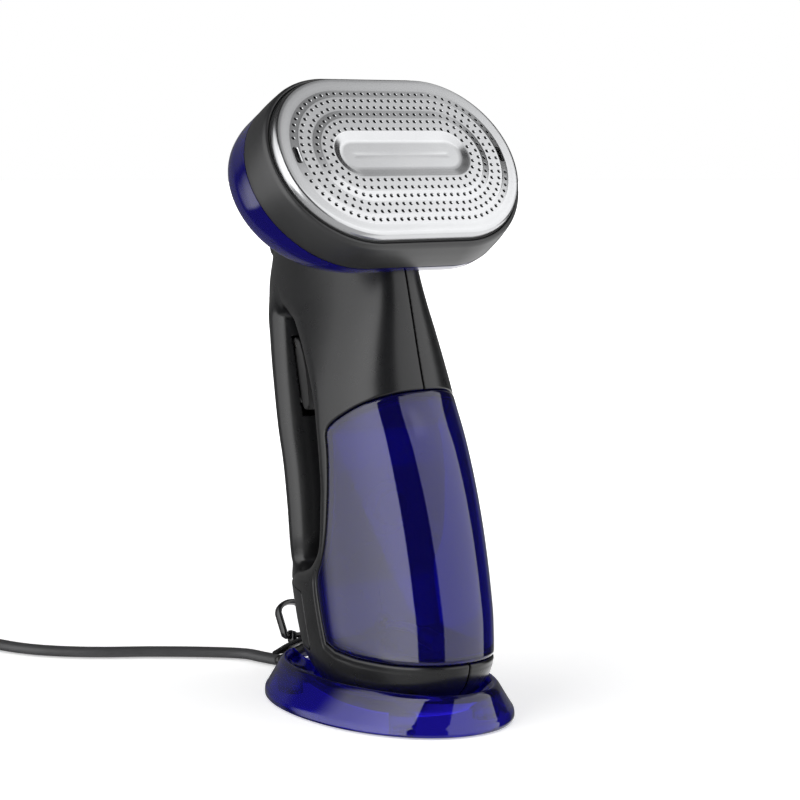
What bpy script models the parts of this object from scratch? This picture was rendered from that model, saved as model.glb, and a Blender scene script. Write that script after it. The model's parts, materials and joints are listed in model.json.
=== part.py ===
"""Handheld garment steamer on its docking stand.

Frame: metres, +Z up, origin on the floor under the middle of the stand,
the steam plate faces -Y, the handle is on the +Y side, X = 0 is the plane of
symmetry.  Front is -Y, back is +Y, left is -X.  All sizes below are in
millimetres; MM turns them to metres.  Objects without a material are cutters.
"""
import bpy
import bmesh
import math
from mathutils import Vector, Matrix

for old in list(bpy.data.objects):
    bpy.data.objects.remove(old, do_unlink=True)

MM = 0.001
X_AXIS = Vector((1, 0, 0))
Y_AXIS = Vector((0, 1, 0))
Z_AXIS = Vector((0, 0, 1))

# ---------------------------------------------------------------- driving sizes
TANK_GAP = 0.3                 # clearance between the tank and its bay
WALL = 2.6                     # moulded wall of the clamshell housing
PARTING = 0.15                 # each clamshell half stops this far from X = 0
COVER_GAP = 0.35               # clearance round the lower rear cover
BOOT_GAP = 0.4                 # clearance round the cord boot
DOME_GAP = 0.4                 # clearance round the head's rear shell

# steam head
HEAD_CENTRE = Vector((0.0, -12.3, 284.0))     # middle of the plate's face
HEAD_TILT = math.radians(33.3)                # the face leans back by this much
PLATE_HALF_WIDTH, PLATE_HALF_HEIGHT = 71.0, 45.4
HEAD_UP = Vector((0, math.sin(HEAD_TILT), math.cos(HEAD_TILT)))
HEAD_NORMAL = Vector((0, -math.cos(HEAD_TILT), math.sin(HEAD_TILT)))

# the tank slides straight out along this axis, which falls towards the back
TANK_PITCH = math.radians(3.0)
TANK_AXIS = Vector((0, math.cos(TANK_PITCH), -math.sin(TANK_PITCH)))
TANK_WALL = 2.2
SPOUT_Z = 42.0
SPOUT = Vector((0.0, 3.7, SPOUT_Z))           # spout's axis at the tank's rear wall
FILLER = Vector((0, -1.4, 103.4))             # filler hole and its plug

# controls on the housing
RELEASE = Vector((0, 28.8, 144.0))
POWER, POWER_AXIS = Vector((0, 98.6, 236.0)), Vector((0, 0.94, 0.342)).normalized()
LAMP, LAMP_AXIS = Vector((0, 89.6, 250.5)), Vector((0, 0.78, 0.626)).normalized()
TRIGGER_PIN = Vector((0, 73.6, 182.4))

# clamshell screws: y, z, reach of the head from X = 0
SCREWS = [(6.0, 203.0, 13.0), (84.0, 226.0, 9.0), (18.0, 21.6, 22.0), (-38.0, 21.0, 22.0)]

# stand: half width and half length at the floor
STAND_HALF_WIDTH, STAND_HALF_LENGTH = 54.3, 80.5

# ---------------------------------------------------------------- body form
# height, front y, widest y, back y, half width, front exponent, rear exponent
BODY = [
    (5.0, -24, -6, 14, 15.0, 2.0, 2.0),
    (7.0, -40, -7, 27, 23.0, 2.0, 2.0),
    (10.0, -50, -8, 37, 29.0, 2.05, 1.9),
    (14.0, -58, -9, 47, 33.0, 2.1, 1.85),
    (19.0, -64, -10, 56.5, 35.3, 2.1, 1.8),
    (25.0, -68.3, -10, 64.5, 36.8, 2.15, 1.75),
    (33.0, -70.6, -9, 69, 37.8, 2.2, 1.7),
    (50.0, -70.0, -6, 74.4, 38.8, 2.2, 1.68),
    (70.0, -66.8, -3, 78.6, 39.2, 2.2, 1.68),
    (92.0, -62.0, 0, 80.6, 39.0, 2.2, 1.7),
    (115.0, -55.3, 3, 84.4, 38.4, 2.2, 1.7),
    (140.0, -45.8, 7, 90.4, 37.2, 2.2, 1.75),
    (166.0, -33.2, 12, 96.4, 34.6, 2.2, 1.75),
    (185.0, -27.4, 16, 101.2, 30.2, 2.15, 1.78),
    (200.0, -23.4, 19, 104.8, 26.0, 2.1, 1.8),
    (212.0, -20.2, 22, 104.8, 22.8, 2.1, 1.85),
    (225.0, -16.6, 25, 102.0, 20.4, 2.1, 1.95),
    (240.0, -11.5, 28, 96.0, 19.2, 2.1, 2.0),
    (252.0, -7.0, 30, 87.5, 18.3, 2.1, 2.0),
    (262.0, -3.0, 32, 76.0, 17.0, 2.1, 2.0),
    (270.0, 4.0, 33, 61.0, 14.0, 2.0, 2.0),
]
BODY_BOTTOM, BODY_TOP = BODY[0][0], BODY[-1][0]
RINGLESS = (7.0, 92.0, 212.0, 252.0)   # stations that steer the curve without a ring
BODY_SIDES = 24
# hand opening: height, y of its front edge on the body's side, y of its front
# wall on the middle plane, y of the grip's front face on the middle plane
SLOT = [
    (65.0, 40.0, 44.0, 50.0),
    (68.0, 24.0, 37.0, 55.0),
    (73.0, 13.0, 31.0, 54.0),
    (82.0, 7.0, 27.0, 53.0),
    (95.0, 5.5, 25.0, 53.5),
    (112.0, 5.5, 24.5, 55.5),
    (130.0, 8.0, 26.0, 59.5),
    (150.0, 13.0, 30.0, 63.5),
    (166.0, 19.5, 35.0, 67.0),
    (182.0, 32.0, 45.5, 71.0),
    (192.0, 43.0, 54.5, 74.0),
    (198.0, 53.0, 62.0, 76.5),
    (201.0, 63.0, 67.0, 74.0),
]
SLOT_REACH = 60                # the opening's cutter runs out to this X
SLOT_POWER = 2.2               # roundness of the opening's front and rear walls
GRIP_HALF_WIDTH = 19.0         # the grip's front face curves back over this width
GRIP_ROUNDING = 14.0           # and ends this far behind its middle

# side view (y, z) of the tank's rear and top edge, from the bottom seam upwards
BAY = [
    (-90.0, 34.9), (0.5, 31.4), (4.5, 45.0), (8.5, 60.0), (9.5, 69.5),
    (6.0, 75.5), (2.0, 83.0), (-0.5, 96.0), (-1.2, 112.0), (-0.8, 124.0),
    (0.6, 136.0), (3.0, 144.0), (1.5, 147.8), (-3.0, 151.5), (-9.0, 155.4),
    (-16.0, 159.9), (-23.0, 163.6), (-31.0, 167.3), (-45.0, 171.5), (-90.0, 178.0),
]
# side view (y, z) of the lower rear cover, which wraps round the back
COVER = [
    (33.4, 58.0), (31.2, 57.3), (30.1, 55.4), (25.0, 31.2), (24.8, 29.2),
    (25.9, 27.7), (28.0, 27.2), (95.0, 27.2), (95.0, 58.0),
]
# head's rear shell, outside: see head_ring for the columns
DOME = [
    (6.2, 6.0, -24.3, 0.2), (6.8, 5.2, -31.0, 1.2), (6.4, 2.6, -38.0, 3.2),
    (3.6, -1.6, -45.0, 5.0), (-3.0, -8.0, -51.5, 6.4), (-13.0, -16.5, -56.5, 7.4),
    (-27.0, -27.0, -59.5, 8.0),
]
# middle line of the cord boot, and half width and half height at its two ends
BOOT_PATH = [
    (0, 53, 19.2), (0, 60, 19.4), (0, 66, 18.3), (0, 71, 16.8),
    (0, 77, 14.1), (0, 85, 10.6), (0, 93, 6.7), (0, 99, 4.6),
]
BOOT_START, BOOT_END = (7.6, 3.8), (5.6, 3.0)


# ---------------------------------------------------------------- materials
def material(name, colour, roughness, metallic=0.0, transmission=0.0):
    made = bpy.data.materials.new(name)
    made.use_nodes = True
    inputs = made.node_tree.nodes["Principled BSDF"].inputs
    inputs["Base Color"].default_value = (*colour, 1.0)
    inputs["Roughness"].default_value = roughness
    inputs["Metallic"].default_value = metallic
    inputs["Transmission Weight"].default_value = transmission
    return made


GREY = material("housing_grey", colour=(0.062, 0.064, 0.066), roughness=0.42)
BEZEL_GREY = material("bezel_grey", colour=(0.055, 0.056, 0.058), roughness=0.45)
CLEAR_BLUE = material("clear_blue", colour=(0.01, 0.008, 0.32), roughness=0.06,
                      transmission=0.9)
GLOSS_BLUE = material("gloss_blue", colour=(0.010, 0.008, 0.14), roughness=0.08)
STEEL = material("brushed_plate", colour=(0.70, 0.71, 0.72), roughness=0.3, metallic=1.0)
CAST = material("cast_aluminium", colour=(0.60, 0.60, 0.61), roughness=0.5, metallic=1.0)
BLACK = material("gloss_black", colour=(0.012, 0.012, 0.013), roughness=0.18)
RUBBER = material("soft_rubber", colour=(0.02, 0.02, 0.02), roughness=0.75)
SILICONE = material("silicone", colour=(0.45, 0.44, 0.42), roughness=0.55)
CABLE = material("cord_grey", colour=(0.05, 0.05, 0.052), roughness=0.6)
PLATED = material("plated_steel", colour=(0.62, 0.62, 0.60), roughness=0.3, metallic=1.0)
BOARD_GREEN = material("board_green", colour=(0.03, 0.13, 0.06), roughness=0.5)
WHITE = material("white_plastic", colour=(0.75, 0.75, 0.72), roughness=0.4)
BRASS = material("brass", colour=(0.65, 0.48, 0.2), roughness=0.3, metallic=1.0)
AMBER = material("lens_amber", colour=(0.75, 0.3, 0.05), roughness=0.15, transmission=0.4)


# ---------------------------------------------------------------- curves
def slope_at(heights, grades, k):
    """Slope at row k that keeps the curve monotone between rows."""
    if k == 0:
        return grades[0]
    if k == len(heights) - 1:
        return grades[-1]
    if grades[k - 1] * grades[k] <= 0:
        return 0.0
    below, above = heights[k] - heights[k - 1], heights[k + 1] - heights[k]
    weight_below, weight_above = 2 * above + below, above + 2 * below
    return ((weight_below + weight_above)
            / (weight_below / grades[k - 1] + weight_above / grades[k]))


def row_at(table, z):
    """Monotone cubic through the rows of a table, at height z."""
    heights = [row[0] for row in table]
    z = min(max(z, heights[0]), heights[-1])
    i = 0
    while i < len(heights) - 2 and z >= heights[i + 1]:
        i += 1
    step = heights[i + 1] - heights[i]
    t = (z - heights[i]) / step
    out = []
    for column in range(1, len(table[0])):
        values = [row[column] for row in table]
        grades = [(values[k + 1] - values[k]) / (heights[k + 1] - heights[k])
                  for k in range(len(heights) - 1)]
        out.append((2 * t**3 - 3 * t**2 + 1) * values[i]
                   + (t**3 - 2 * t**2 + t) * step * slope_at(heights, grades, i)
                   + (3 * t**2 - 2 * t**3) * values[i + 1]
                   + (t**3 - t**2) * step * slope_at(heights, grades, i + 1))
    return out


def signed_power(value, power):
    return math.copysign(abs(value) ** power, value)


def ring_angles(sides):
    """Angles round a ring, the first one half a step in."""
    return [2 * math.pi * (k + 0.5) / sides for k in range(sides)]


def smooth_path(points, steps):
    """Catmull-Rom curve through the points, in so many steps per span."""
    fine = []
    for i in range(len(points) - 1):
        before, start = points[max(i - 1, 0)], points[i]
        end, after = points[i + 1], points[min(i + 2, len(points) - 1)]
        for k in range(steps):
            t = k / steps
            fine.append(0.5 * ((2 * start) + (end - before) * t
                               + (2 * before - 5 * start + 4 * end - after) * t**2
                               + (3 * start - before - 3 * end + after) * t**3))
    return fine + [points[-1]]


def grow(outline, distance):
    """Side-view outline with every point moved out along its own normal."""
    count = len(outline)
    following = outline[1:] + outline[:1]
    area = sum(here[0] * ahead[1] - ahead[0] * here[1]
               for here, ahead in zip(outline, following))
    sign = 1 if area > 0 else -1
    out = []
    for k in range(count):
        (y0, z0), (y1, z1), (y2, z2) = outline[k - 1], outline[k], following[k]
        normal_in = Vector((z1 - z0, y0 - y1)).normalized() * sign
        normal_out = Vector((z2 - z1, y1 - y2)).normalized() * sign
        mitre = (normal_in + normal_out).normalized()
        stretch = max(mitre.dot(normal_in), 0.5)      # limits the spike at sharp corners
        out.append((y1 + mitre.x * distance / stretch, z1 + mitre.y * distance / stretch))
    return out


# ---------------------------------------------------------------- mesh tools
SHARP_ANGLE = math.radians(35.0)


def add(name, mesh, mat=None):
    """Links a mesh or bmesh as an object; one without a material is a cutter."""
    if isinstance(mesh, bmesh.types.BMesh):
        built = mesh
        mesh = bpy.data.meshes.new(name)
        built.to_mesh(mesh)
        built.free()
    piece = bpy.data.objects.new(name, mesh)
    bpy.context.scene.collection.objects.link(piece)
    if mat is None:
        piece.hide_render = True
        piece.display_type = 'WIRE'
    else:
        mesh.materials.append(mat)
    mesh.shade_smooth()
    mesh.set_sharp_from_angle(angle=SHARP_ANGLE)
    return piece


def face_out(mesh):
    bmesh.ops.recalc_face_normals(mesh, faces=mesh.faces)
    if mesh.calc_volume(signed=True) < 0:
        bmesh.ops.reverse_faces(mesh, faces=mesh.faces)
    return mesh


def ring_verts(mesh, rings):
    return [[mesh.verts.new(Vector(point) * MM) for point in ring] for ring in rings]


def skin(mesh, first, second):
    """Quads between two rings of vertices."""
    count = len(first)
    for k in range(count):
        after = (k + 1) % count
        mesh.faces.new((first[k], first[after], second[after], second[k]))


def fan(mesh, ring):
    """Closes a ring with triangles to its middle."""
    middle = mesh.verts.new(sum((vert.co for vert in ring), Vector()) / len(ring))
    for k in range(len(ring)):
        mesh.faces.new((ring[k], ring[(k + 1) % len(ring)], middle))


def loft(rings, closed=False, flat_caps=False):
    """Solid through rings of points (same count each); closed joins last to first."""
    mesh = bmesh.new()
    loops = ring_verts(mesh, rings)
    for first, second in zip(loops, loops[1:]):
        skin(mesh, first, second)
    if closed:
        skin(mesh, loops[-1], loops[0])
    elif flat_caps:
        mesh.faces.new(loops[0][::-1])
        mesh.faces.new(loops[-1])
    else:
        fan(mesh, loops[0])
        fan(mesh, loops[-1])
    bmesh.ops.triangulate(mesh, faces=mesh.faces)
    return face_out(mesh)


def pan(front, back):
    """Pan: front rings from the rim inwards, back rings from the middle out."""
    mesh = bmesh.new()
    loops = ring_verts(mesh, front + back)
    innermost = len(front) - 1
    for i in range(len(loops)):
        if i != innermost:
            skin(mesh, loops[i], loops[(i + 1) % len(loops)])
    fan(mesh, loops[innermost])
    fan(mesh, loops[innermost + 1])
    bmesh.ops.triangulate(mesh, faces=mesh.faces)
    return face_out(mesh)


def frame_to(place, axis):
    """Matrix (metres) whose local Z is axis, at a place in millimetres."""
    along = Vector(axis).normalized()
    across = Z_AXIS.cross(along)
    if across.length < 1e-6:
        across = X_AXIS.cross(along)
    across.normalize()
    frame = Matrix((across, along.cross(across), along)).transposed().to_4x4()
    frame.translation = Vector(place) * MM
    return frame


def turned(name, profile, place, axis, mat=None, sides=20):
    """Solid of revolution: profile is a closed list of (radius, along).
    A first and last radius of 0 close it on its own axis."""
    solid = profile[0][0] == 0 and profile[-1][0] == 0
    rings = [[(radius * math.cos(2 * math.pi * k / sides),
               radius * math.sin(2 * math.pi * k / sides), along) for k in range(sides)]
             for radius, along in (profile[1:-1] if solid else profile)]
    mesh = loft(rings, closed=not solid)
    bmesh.ops.transform(mesh, matrix=frame_to(place, axis), verts=mesh.verts)
    return add(name, mesh, mat)


def rod(name, radius, span, place, axis, mat=None, sides=20):
    """Cylinder between the two distances of span along its axis."""
    start, end = span
    return turned(name, [(0, start), (radius, start), (radius, end), (0, end)],
                  place, axis, mat, sides)


def box(name, low, high, mat=None, bevel=0.0, frame=None):
    mesh = bmesh.new()
    bmesh.ops.create_cube(mesh, size=1.0)
    size = Vector(high) - Vector(low)
    middle = (Vector(high) + Vector(low)) / 2
    for vert in mesh.verts:
        vert.co = (Vector([part * scale for part, scale in zip(vert.co, size)]) + middle) * MM
    if bevel:
        bmesh.ops.bevel(mesh, geom=mesh.edges[:], offset=bevel * MM, segments=2,
                        profile=0.5, affect='EDGES')
    if frame is not None:
        bmesh.ops.transform(mesh, matrix=frame, verts=mesh.verts)
    return add(name, mesh, mat)


def sweep(name, path, size, mat=None, end_size=None, sides=8, power=1.0, steps=1):
    """Bar along a path.  size is (half across, half high), blended to end_size;
    a power below 1 squares the section."""
    points = smooth_path([Vector(point) for point in path], steps)
    end_size = end_size or size
    last = len(points) - 1
    up = None
    rings = []
    for i, point in enumerate(points):
        along = (points[min(i + 1, last)] - points[max(i - 1, 0)]).normalized()
        if up is None:
            up = Z_AXIS if abs(along.z) < 0.9 else Y_AXIS
        side = along.cross(up).normalized()
        up = side.cross(along).normalized()
        t = i / last
        half_across, half_high = (start * (1 - t) + end * t
                                  for start, end in zip(size, end_size))
        rings.append([point + side * (signed_power(math.cos(angle), power) * half_across)
                      + up * (signed_power(math.sin(angle), power) * half_high)
                      for angle in ring_angles(sides)])
    return add(name, loft(rings), mat)


def prism(name, outline, half_width, mat=None):
    """Side-view outline (y, z) pushed along X to both sides of the middle."""
    mesh = bmesh.new()
    left, right = [[mesh.verts.new(Vector((x, y, z)) * MM) for y, z in outline]
                   for x in (-half_width, half_width)]
    mesh.faces.new(left)
    mesh.faces.new(right[::-1])
    count = len(outline)
    for k in range(count):
        after = (k + 1) % count
        mesh.faces.new((left[k], right[k], right[after], left[after]))
    return add(name, face_out(mesh), mat)


def boolean(piece, tool, operation):
    modifier = piece.modifiers.new(tool.name, 'BOOLEAN')
    modifier.operation = operation
    modifier.object = tool
    modifier.solver = 'EXACT'


def cut(piece, tool):
    boolean(piece, tool, 'DIFFERENCE')


def join(piece, tool):
    boolean(piece, tool, 'UNION')


def keep_inside(piece, tool):
    boolean(piece, tool, 'INTERSECT')


def turn_on(piece, name, place):
    """Parents a piece to a new empty that it turns about."""
    pivot = bpy.data.objects.new(name, None)
    pivot.location = place * MM
    bpy.context.scene.collection.objects.link(pivot)
    piece.parent = pivot
    piece.matrix_parent_inverse = Matrix.Translation(-place * MM)


# ---------------------------------------------------------------- shared forms
def body_ring(z, inset):
    """Horizontal outline of the body at height z, pulled in by inset."""
    front, widest, back, half_width, front_exponent, rear_exponent = row_at(BODY, z)
    points = []
    for angle in ring_angles(BODY_SIDES):
        cosine, sine = math.cos(angle - math.pi / 2), math.sin(angle - math.pi / 2)
        if sine < 0:
            exponent, depth = front_exponent, widest - front
        else:
            exponent, depth = rear_exponent, back - widest
        points.append((signed_power(cosine, 2 / exponent) * (half_width - inset),
                       widest + signed_power(sine, 2 / exponent) * (depth - inset), z))
    return points


def body_solid(name, inset, bottom, top):
    levels = [row[0] for row in BODY if bottom < row[0] < top and row[0] not in RINGLESS]
    return add(name, loft([body_ring(z, inset) for z in [bottom] + levels + [top]]))


def slot_solid(name, margin=0.0):
    """Hand opening, made larger on every side by margin."""
    rings = []
    for z in [SLOT[0][0] - margin] + [row[0] for row in SLOT[1:-1]] + [SLOT[-1][0] + margin]:
        side_y, middle_y, grip_y = row_at(SLOT, z)
        half_width = row_at(BODY, z)[3]
        ring = []
        for x in (-SLOT_REACH, -half_width, -0.85 * half_width, -0.5 * half_width, 0,
                  0.5 * half_width, 0.85 * half_width, half_width, SLOT_REACH):
            t = min(abs(x) / half_width, 1.0)
            bulge = (middle_y - side_y) * (1 - t**SLOT_POWER) ** 0.5
            ring.append((x, side_y + bulge - margin, z))
        for x in (SLOT_REACH, GRIP_HALF_WIDTH, 13, 6, 0, -6, -13, -GRIP_HALF_WIDTH,
                  -SLOT_REACH):
            t = min(abs(x), GRIP_HALF_WIDTH) / GRIP_HALF_WIDTH
            ring.append((x, grip_y + GRIP_ROUNDING * t**SLOT_POWER + margin, z))
        rings.append(ring)
    return add(name, loft(rings, flat_caps=True))


def head_point(across, up, out):
    """Point in the head's own frame; out runs along the plate's outward normal."""
    return HEAD_CENTRE + X_AXIS * across + HEAD_UP * up + HEAD_NORMAL * out


def head_ring(wider, taller, out, lift=0.0, sides=28):
    """Ring wider and taller than the plate's face by so much on each side, at
    out along its normal, moved up by lift."""
    radius = PLATE_HALF_HEIGHT + taller
    flat = PLATE_HALF_WIDTH + wider - radius
    points = []
    for angle in ring_angles(sides):
        cosine = math.cos(angle)
        points.append(head_point(math.copysign(flat, cosine) + radius * cosine,
                                 radius * math.sin(angle) + lift, out))
    return points


def head_rings(table):
    return [head_ring(*row) for row in table]


# ---------------------------------------------------------------- housing
BOSS_RADIUS = 4.6
HOLE_RADIUS, SINK_RADIUS = 1.75, 3.3          # screw hole and its wider outer part
SHANK_RADIUS, SCREW_HEAD_RADIUS = 1.4, 2.9


def cavity():
    """Inside of the housing, leaving walls round the openings and screw bosses."""
    inner = body_solid("cut_inner", WALL, BODY_BOTTOM + WALL, BODY_TOP - WALL)
    cut(inner, slot_solid("cut_slot_wall", WALL))
    cut(inner, prism("cut_bay_wall", grow(BAY, WALL), 61))
    for k, (y, z, _) in enumerate(SCREWS):
        cut(inner, rod(f"cut_boss_{k}", BOSS_RADIUS, (-70, 70), (0, y, z), X_AXIS, sides=10))
    return inner


def dome_gap():
    return add("cut_dome_gap", loft(head_rings(
        [(5.6, 5.6, 3.0), (6.1, 6.1, -14)]
        + [(wider + DOME_GAP, taller + DOME_GAP, out, lift) for wider, taller, out, lift in DOME]
        + [(-27, -27, -60.0, 8)])))


def boot_gap():
    start, end = [(across + BOOT_GAP, high + BOOT_GAP)
                  for across, high in (BOOT_START, BOOT_END)]
    return sweep("cut_boot_gap", [(0, 47, 19.0)] + BOOT_PATH, start, end_size=end,
                 sides=12, power=0.7, steps=2)


def screw_hole(k):
    y, z, reach = SCREWS[k]
    profile = [(0, -8.4), (HOLE_RADIUS, -8.4), (HOLE_RADIUS, reach),
               (SINK_RADIUS, reach), (SINK_RADIUS, 60), (0, 60)]
    return turned(f"cut_screw_{k}", profile, (0, y, z), X_AXIS, sides=10)


def housing(outer):
    """Two clamshell halves, parted at X = 0."""
    cutters = [
        cavity(),
        slot_solid("cut_slot"),
        prism("cut_bay", BAY, 60),
        dome_gap(),
        prism("cut_rear_open", COVER, 59),
        boot_gap(),
        rod("cut_spout", 5.6, (-12, 12), SPOUT, TANK_AXIS),
        rod("cut_plug", 14.2, (-6, 9), FILLER, TANK_AXIS),
        box("cut_trigger", (-8.4, 55, 145.0), (8.4, 79.5, 187.2)),
        rod("cut_release", 6.4, (-8, 8), RELEASE, Y_AXIS, sides=14),
        rod("cut_power", 6.9, (-8, 8), POWER, POWER_AXIS, sides=16),
        rod("cut_lamp", 2.9, (-8, 8), LAMP, LAMP_AXIS, sides=10),
    ] + [screw_hole(k) for k in range(len(SCREWS))]
    for name, x0, x1 in (("housing_left", -100, -PARTING), ("housing_right", PARTING, 100)):
        half = add(name, outer.data.copy(), GREY)
        keep_inside(half, box("cut_" + name, (x0, -120, -10), (x1, 150, 320)))
        for cutter in cutters:
            cut(half, cutter)


def rear_cover(outer):
    """Lower cover, wrapped round the back and filling the rear opening."""
    cover = add("rear_cover", outer.data.copy(), GREY)
    keep_inside(cover, prism("cut_cover", grow(COVER, -COVER_GAP), 58))
    cut(cover, body_solid("cut_cover_back", inset=2.4, bottom=8.0, top=100.0))


def housing_screws():
    for k, (y, z, reach) in enumerate(SCREWS):
        seat, top = reach + 0.3, reach + 2.2
        profile = [(0, -7.9), (SHANK_RADIUS, -7.9), (SHANK_RADIUS, seat),
                   (SCREW_HEAD_RADIUS, seat), (SCREW_HEAD_RADIUS, top), (0, top)]
        turned(f"housing_screw_{k + 1}", profile, (0, y, z), X_AXIS, PLATED, 10)


# ---------------------------------------------------------------- water tank
FILLER_RADIUS = 9.3
SPOUT_RADIUS, SPOUT_BORE = 4.2, 2.9
SPRING_RADIUS, SPRING_WIRE = 1.95, 0.3
SPRING_START, SPRING_LENGTH = -0.7, 4.6
SPRING_TURNS, STEPS_PER_TURN = 3, 9


def tank_shell(outer):
    tank = add("tank_shell", outer.data.copy(), CLEAR_BLUE)
    keep_inside(tank, prism("cut_tank_bay", grow(BAY, -TANK_GAP), 62))
    hollow = body_solid("cut_tank_in", TANK_WALL, bottom=8.0, top=230.0)
    keep_inside(hollow, prism("cut_tank_core", grow(BAY, -TANK_GAP - TANK_WALL), 63))
    cut(tank, hollow)
    cut(tank, rod("cut_filler", FILLER_RADIUS, (-8, 8), FILLER, TANK_AXIS, sides=22))
    join(tank, rod("cut_spout_out", SPOUT_RADIUS, (-1.6, 9.5), SPOUT, TANK_AXIS))
    cut(tank, rod("cut_spout_bore", SPOUT_BORE, (-14, 14), SPOUT, TANK_AXIS))


def tank_plug():
    turned("tank_plug", [(0, -4.6), (8.9, -4.6), (8.9, 2.7), (12.4, 2.7), (12.4, 4.4),
                         (4.0, 4.4), (4.0, 7.0), (0, 7.0)], FILLER, TANK_AXIS, RUBBER, 22)


def tank_valve():
    turned("tank_valve", [(0, -3.0), (2.4, -3.0), (2.4, -1.6), (1.1, -1.6), (1.1, 6.8),
                          (0, 6.8)], SPOUT, TANK_AXIS, BRASS, 14)


def valve_spring():
    """Short compression spring round the valve's stem."""
    upward = TANK_AXIS.cross(X_AXIS)
    total = SPRING_TURNS * STEPS_PER_TURN
    coil = []
    for k in range(total + 1):
        angle = 2 * math.pi * k / STEPS_PER_TURN
        centre = SPOUT + TANK_AXIS * (SPRING_START + SPRING_LENGTH * k / total)
        coil.append(centre + X_AXIS * (SPRING_RADIUS * math.cos(angle))
                    + upward * (SPRING_RADIUS * math.sin(angle)))
    sweep("valve_spring", coil, (SPRING_WIRE, SPRING_WIRE), PLATED, sides=5)


def pickup():
    """Tube from the spout to a filter further forward in the tank."""
    sweep("pickup_tube", [SPOUT + TANK_AXIS * -5.0, (0, -8, SPOUT_Z + 1),
                          (0, -20, SPOUT_Z + 2), (0, -32, SPOUT_Z)],
          (2.2, 2.2), SILICONE, steps=3)
    rod("pickup_filter", 4.6, (0, 12), (0, -32.6, SPOUT_Z), (0, -1, -0.15), BRASS, 18)


# ---------------------------------------------------------------- inside the housing
PUMP = Vector((0, 23.2, 41.0))
DELIVERY_PATH = [
    (0, 61.2, 40.6), (-0.5, 64.2, 44), (-3, 60.5, 52), (-10, 48, 57.0),
    (-16, 32, 58.5), (-18, 19, 66), (-18, 13, 82), (-18, 11, 110),
    (-17, 15, 140), (-13, 19, 170), (-9, 20, 198), (-7, 26, 214),
    (-5, 34, 229), (-5, 31, 239), (-5, 20, 244.5), (-5, 12, 250),
]
HARNESS_PATH = [
    (4, 49.4, 21.4), (14, 46, 31), (15.5, 50, 46), (8, 65, 63),
    (6, 69.5, 90), (6, 73, 120), (6.2, 79.5, 145), (6.2, 86, 170),
    (6.2, 90, 192), (6, 88, 205), (5, 76, 213), (4.6, 62, 222),
    (4.6, 50, 231), (4.6, 36, 240), (4.6, 24, 243), (4.6, 15, 248),
]


def valve_socket():
    """Socket that takes the tank's spout, with its seal."""
    turned("valve_socket", [(7.4, 9.2), (7.4, 17.2), (3.0, 17.2), (3.0, 12.2), (6.0, 12.2),
                            (6.0, 9.2)], SPOUT, TANK_AXIS, WHITE)
    turned("socket_seal", [(5.6, 9.9), (5.6, 11.8), (4.6, 11.8), (4.6, 9.9)],
           SPOUT, TANK_AXIS, RUBBER)


def pump():
    turned("pump", [(0, 0), (7.5, 0), (7.5, 6), (9.0, 6), (9.0, 26), (6.5, 26), (6.5, 33),
                    (2.2, 33), (2.2, 36), (0, 36)], PUMP, Y_AXIS, WHITE, 22)
    turned("pump_coil_frame", [(10.6, 8), (10.6, 24), (9.4, 24), (9.4, 8)],
           PUMP, Y_AXIS, PLATED)


def tube_and_harness():
    sweep("delivery_tube", DELIVERY_PATH, (2.4, 2.4), SILICONE, sides=6, steps=2)
    sweep("wire_harness", HARNESS_PATH, (2.3, 2.3), CABLE, sides=6, steps=2)


def electronics():
    box("control_board", (17.6, 25, 34), (19.2, 46, 56), BOARD_GREEN)
    box("board_relay", (12.4, 28, 42), (17.2, 39, 54), BLACK, bevel=0.5)
    box("micro_switch", (-3.2, 78.4, 150.0), (3.2, 84.4, 163.0), BLACK, bevel=0.5)


# ---------------------------------------------------------------- controls
# side view (y, z) of the trigger
TRIGGER = [
    (71.8, 186.4), (68.6, 184.6), (64.6, 178.0), (61.2, 170.0), (58.6, 160.0),
    (57.8, 153.0), (58.8, 149.2), (61.0, 147.8), (64.0, 149.4), (69.5, 157.0),
    (73.6, 167.0), (76.6, 178.0), (76.8, 183.4), (75.0, 186.4),
]


def steam_trigger():
    trigger = prism("steam_trigger", TRIGGER, 7.9, BEZEL_GREY)
    cut(trigger, rod("cut_pin", 1.8, (-20, 20), TRIGGER_PIN, X_AXIS, sides=16))
    turn_on(trigger, "trigger_pivot", TRIGGER_PIN)
    rod("trigger_pin", 1.4, (-7.6, 7.6), TRIGGER_PIN, X_AXIS, PLATED, 14)


def tank_release():
    turned("tank_release", [(0, -11.5), (2.2, -11.5), (2.2, -1.5), (5.9, -1.5), (5.9, 3.4),
                            (4.9, 4.4), (0, 4.4)], RELEASE, Y_AXIS, BEZEL_GREY)


def power_button():
    turned("power_button", [(0, -4.5), (3.0, -4.5), (3.0, -2.2), (6.4, -2.2), (6.4, 0.9),
                            (5.6, 1.6), (0, 1.6)], POWER, POWER_AXIS, BLACK, 24)


def indicator_lens():
    turned("indicator_lens", [(0, -3.5), (2.4, -3.5), (2.4, 0.3), (1.6, 0.8), (0, 0.8)],
           LAMP, LAMP_AXIS, AMBER, 16)


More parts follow.
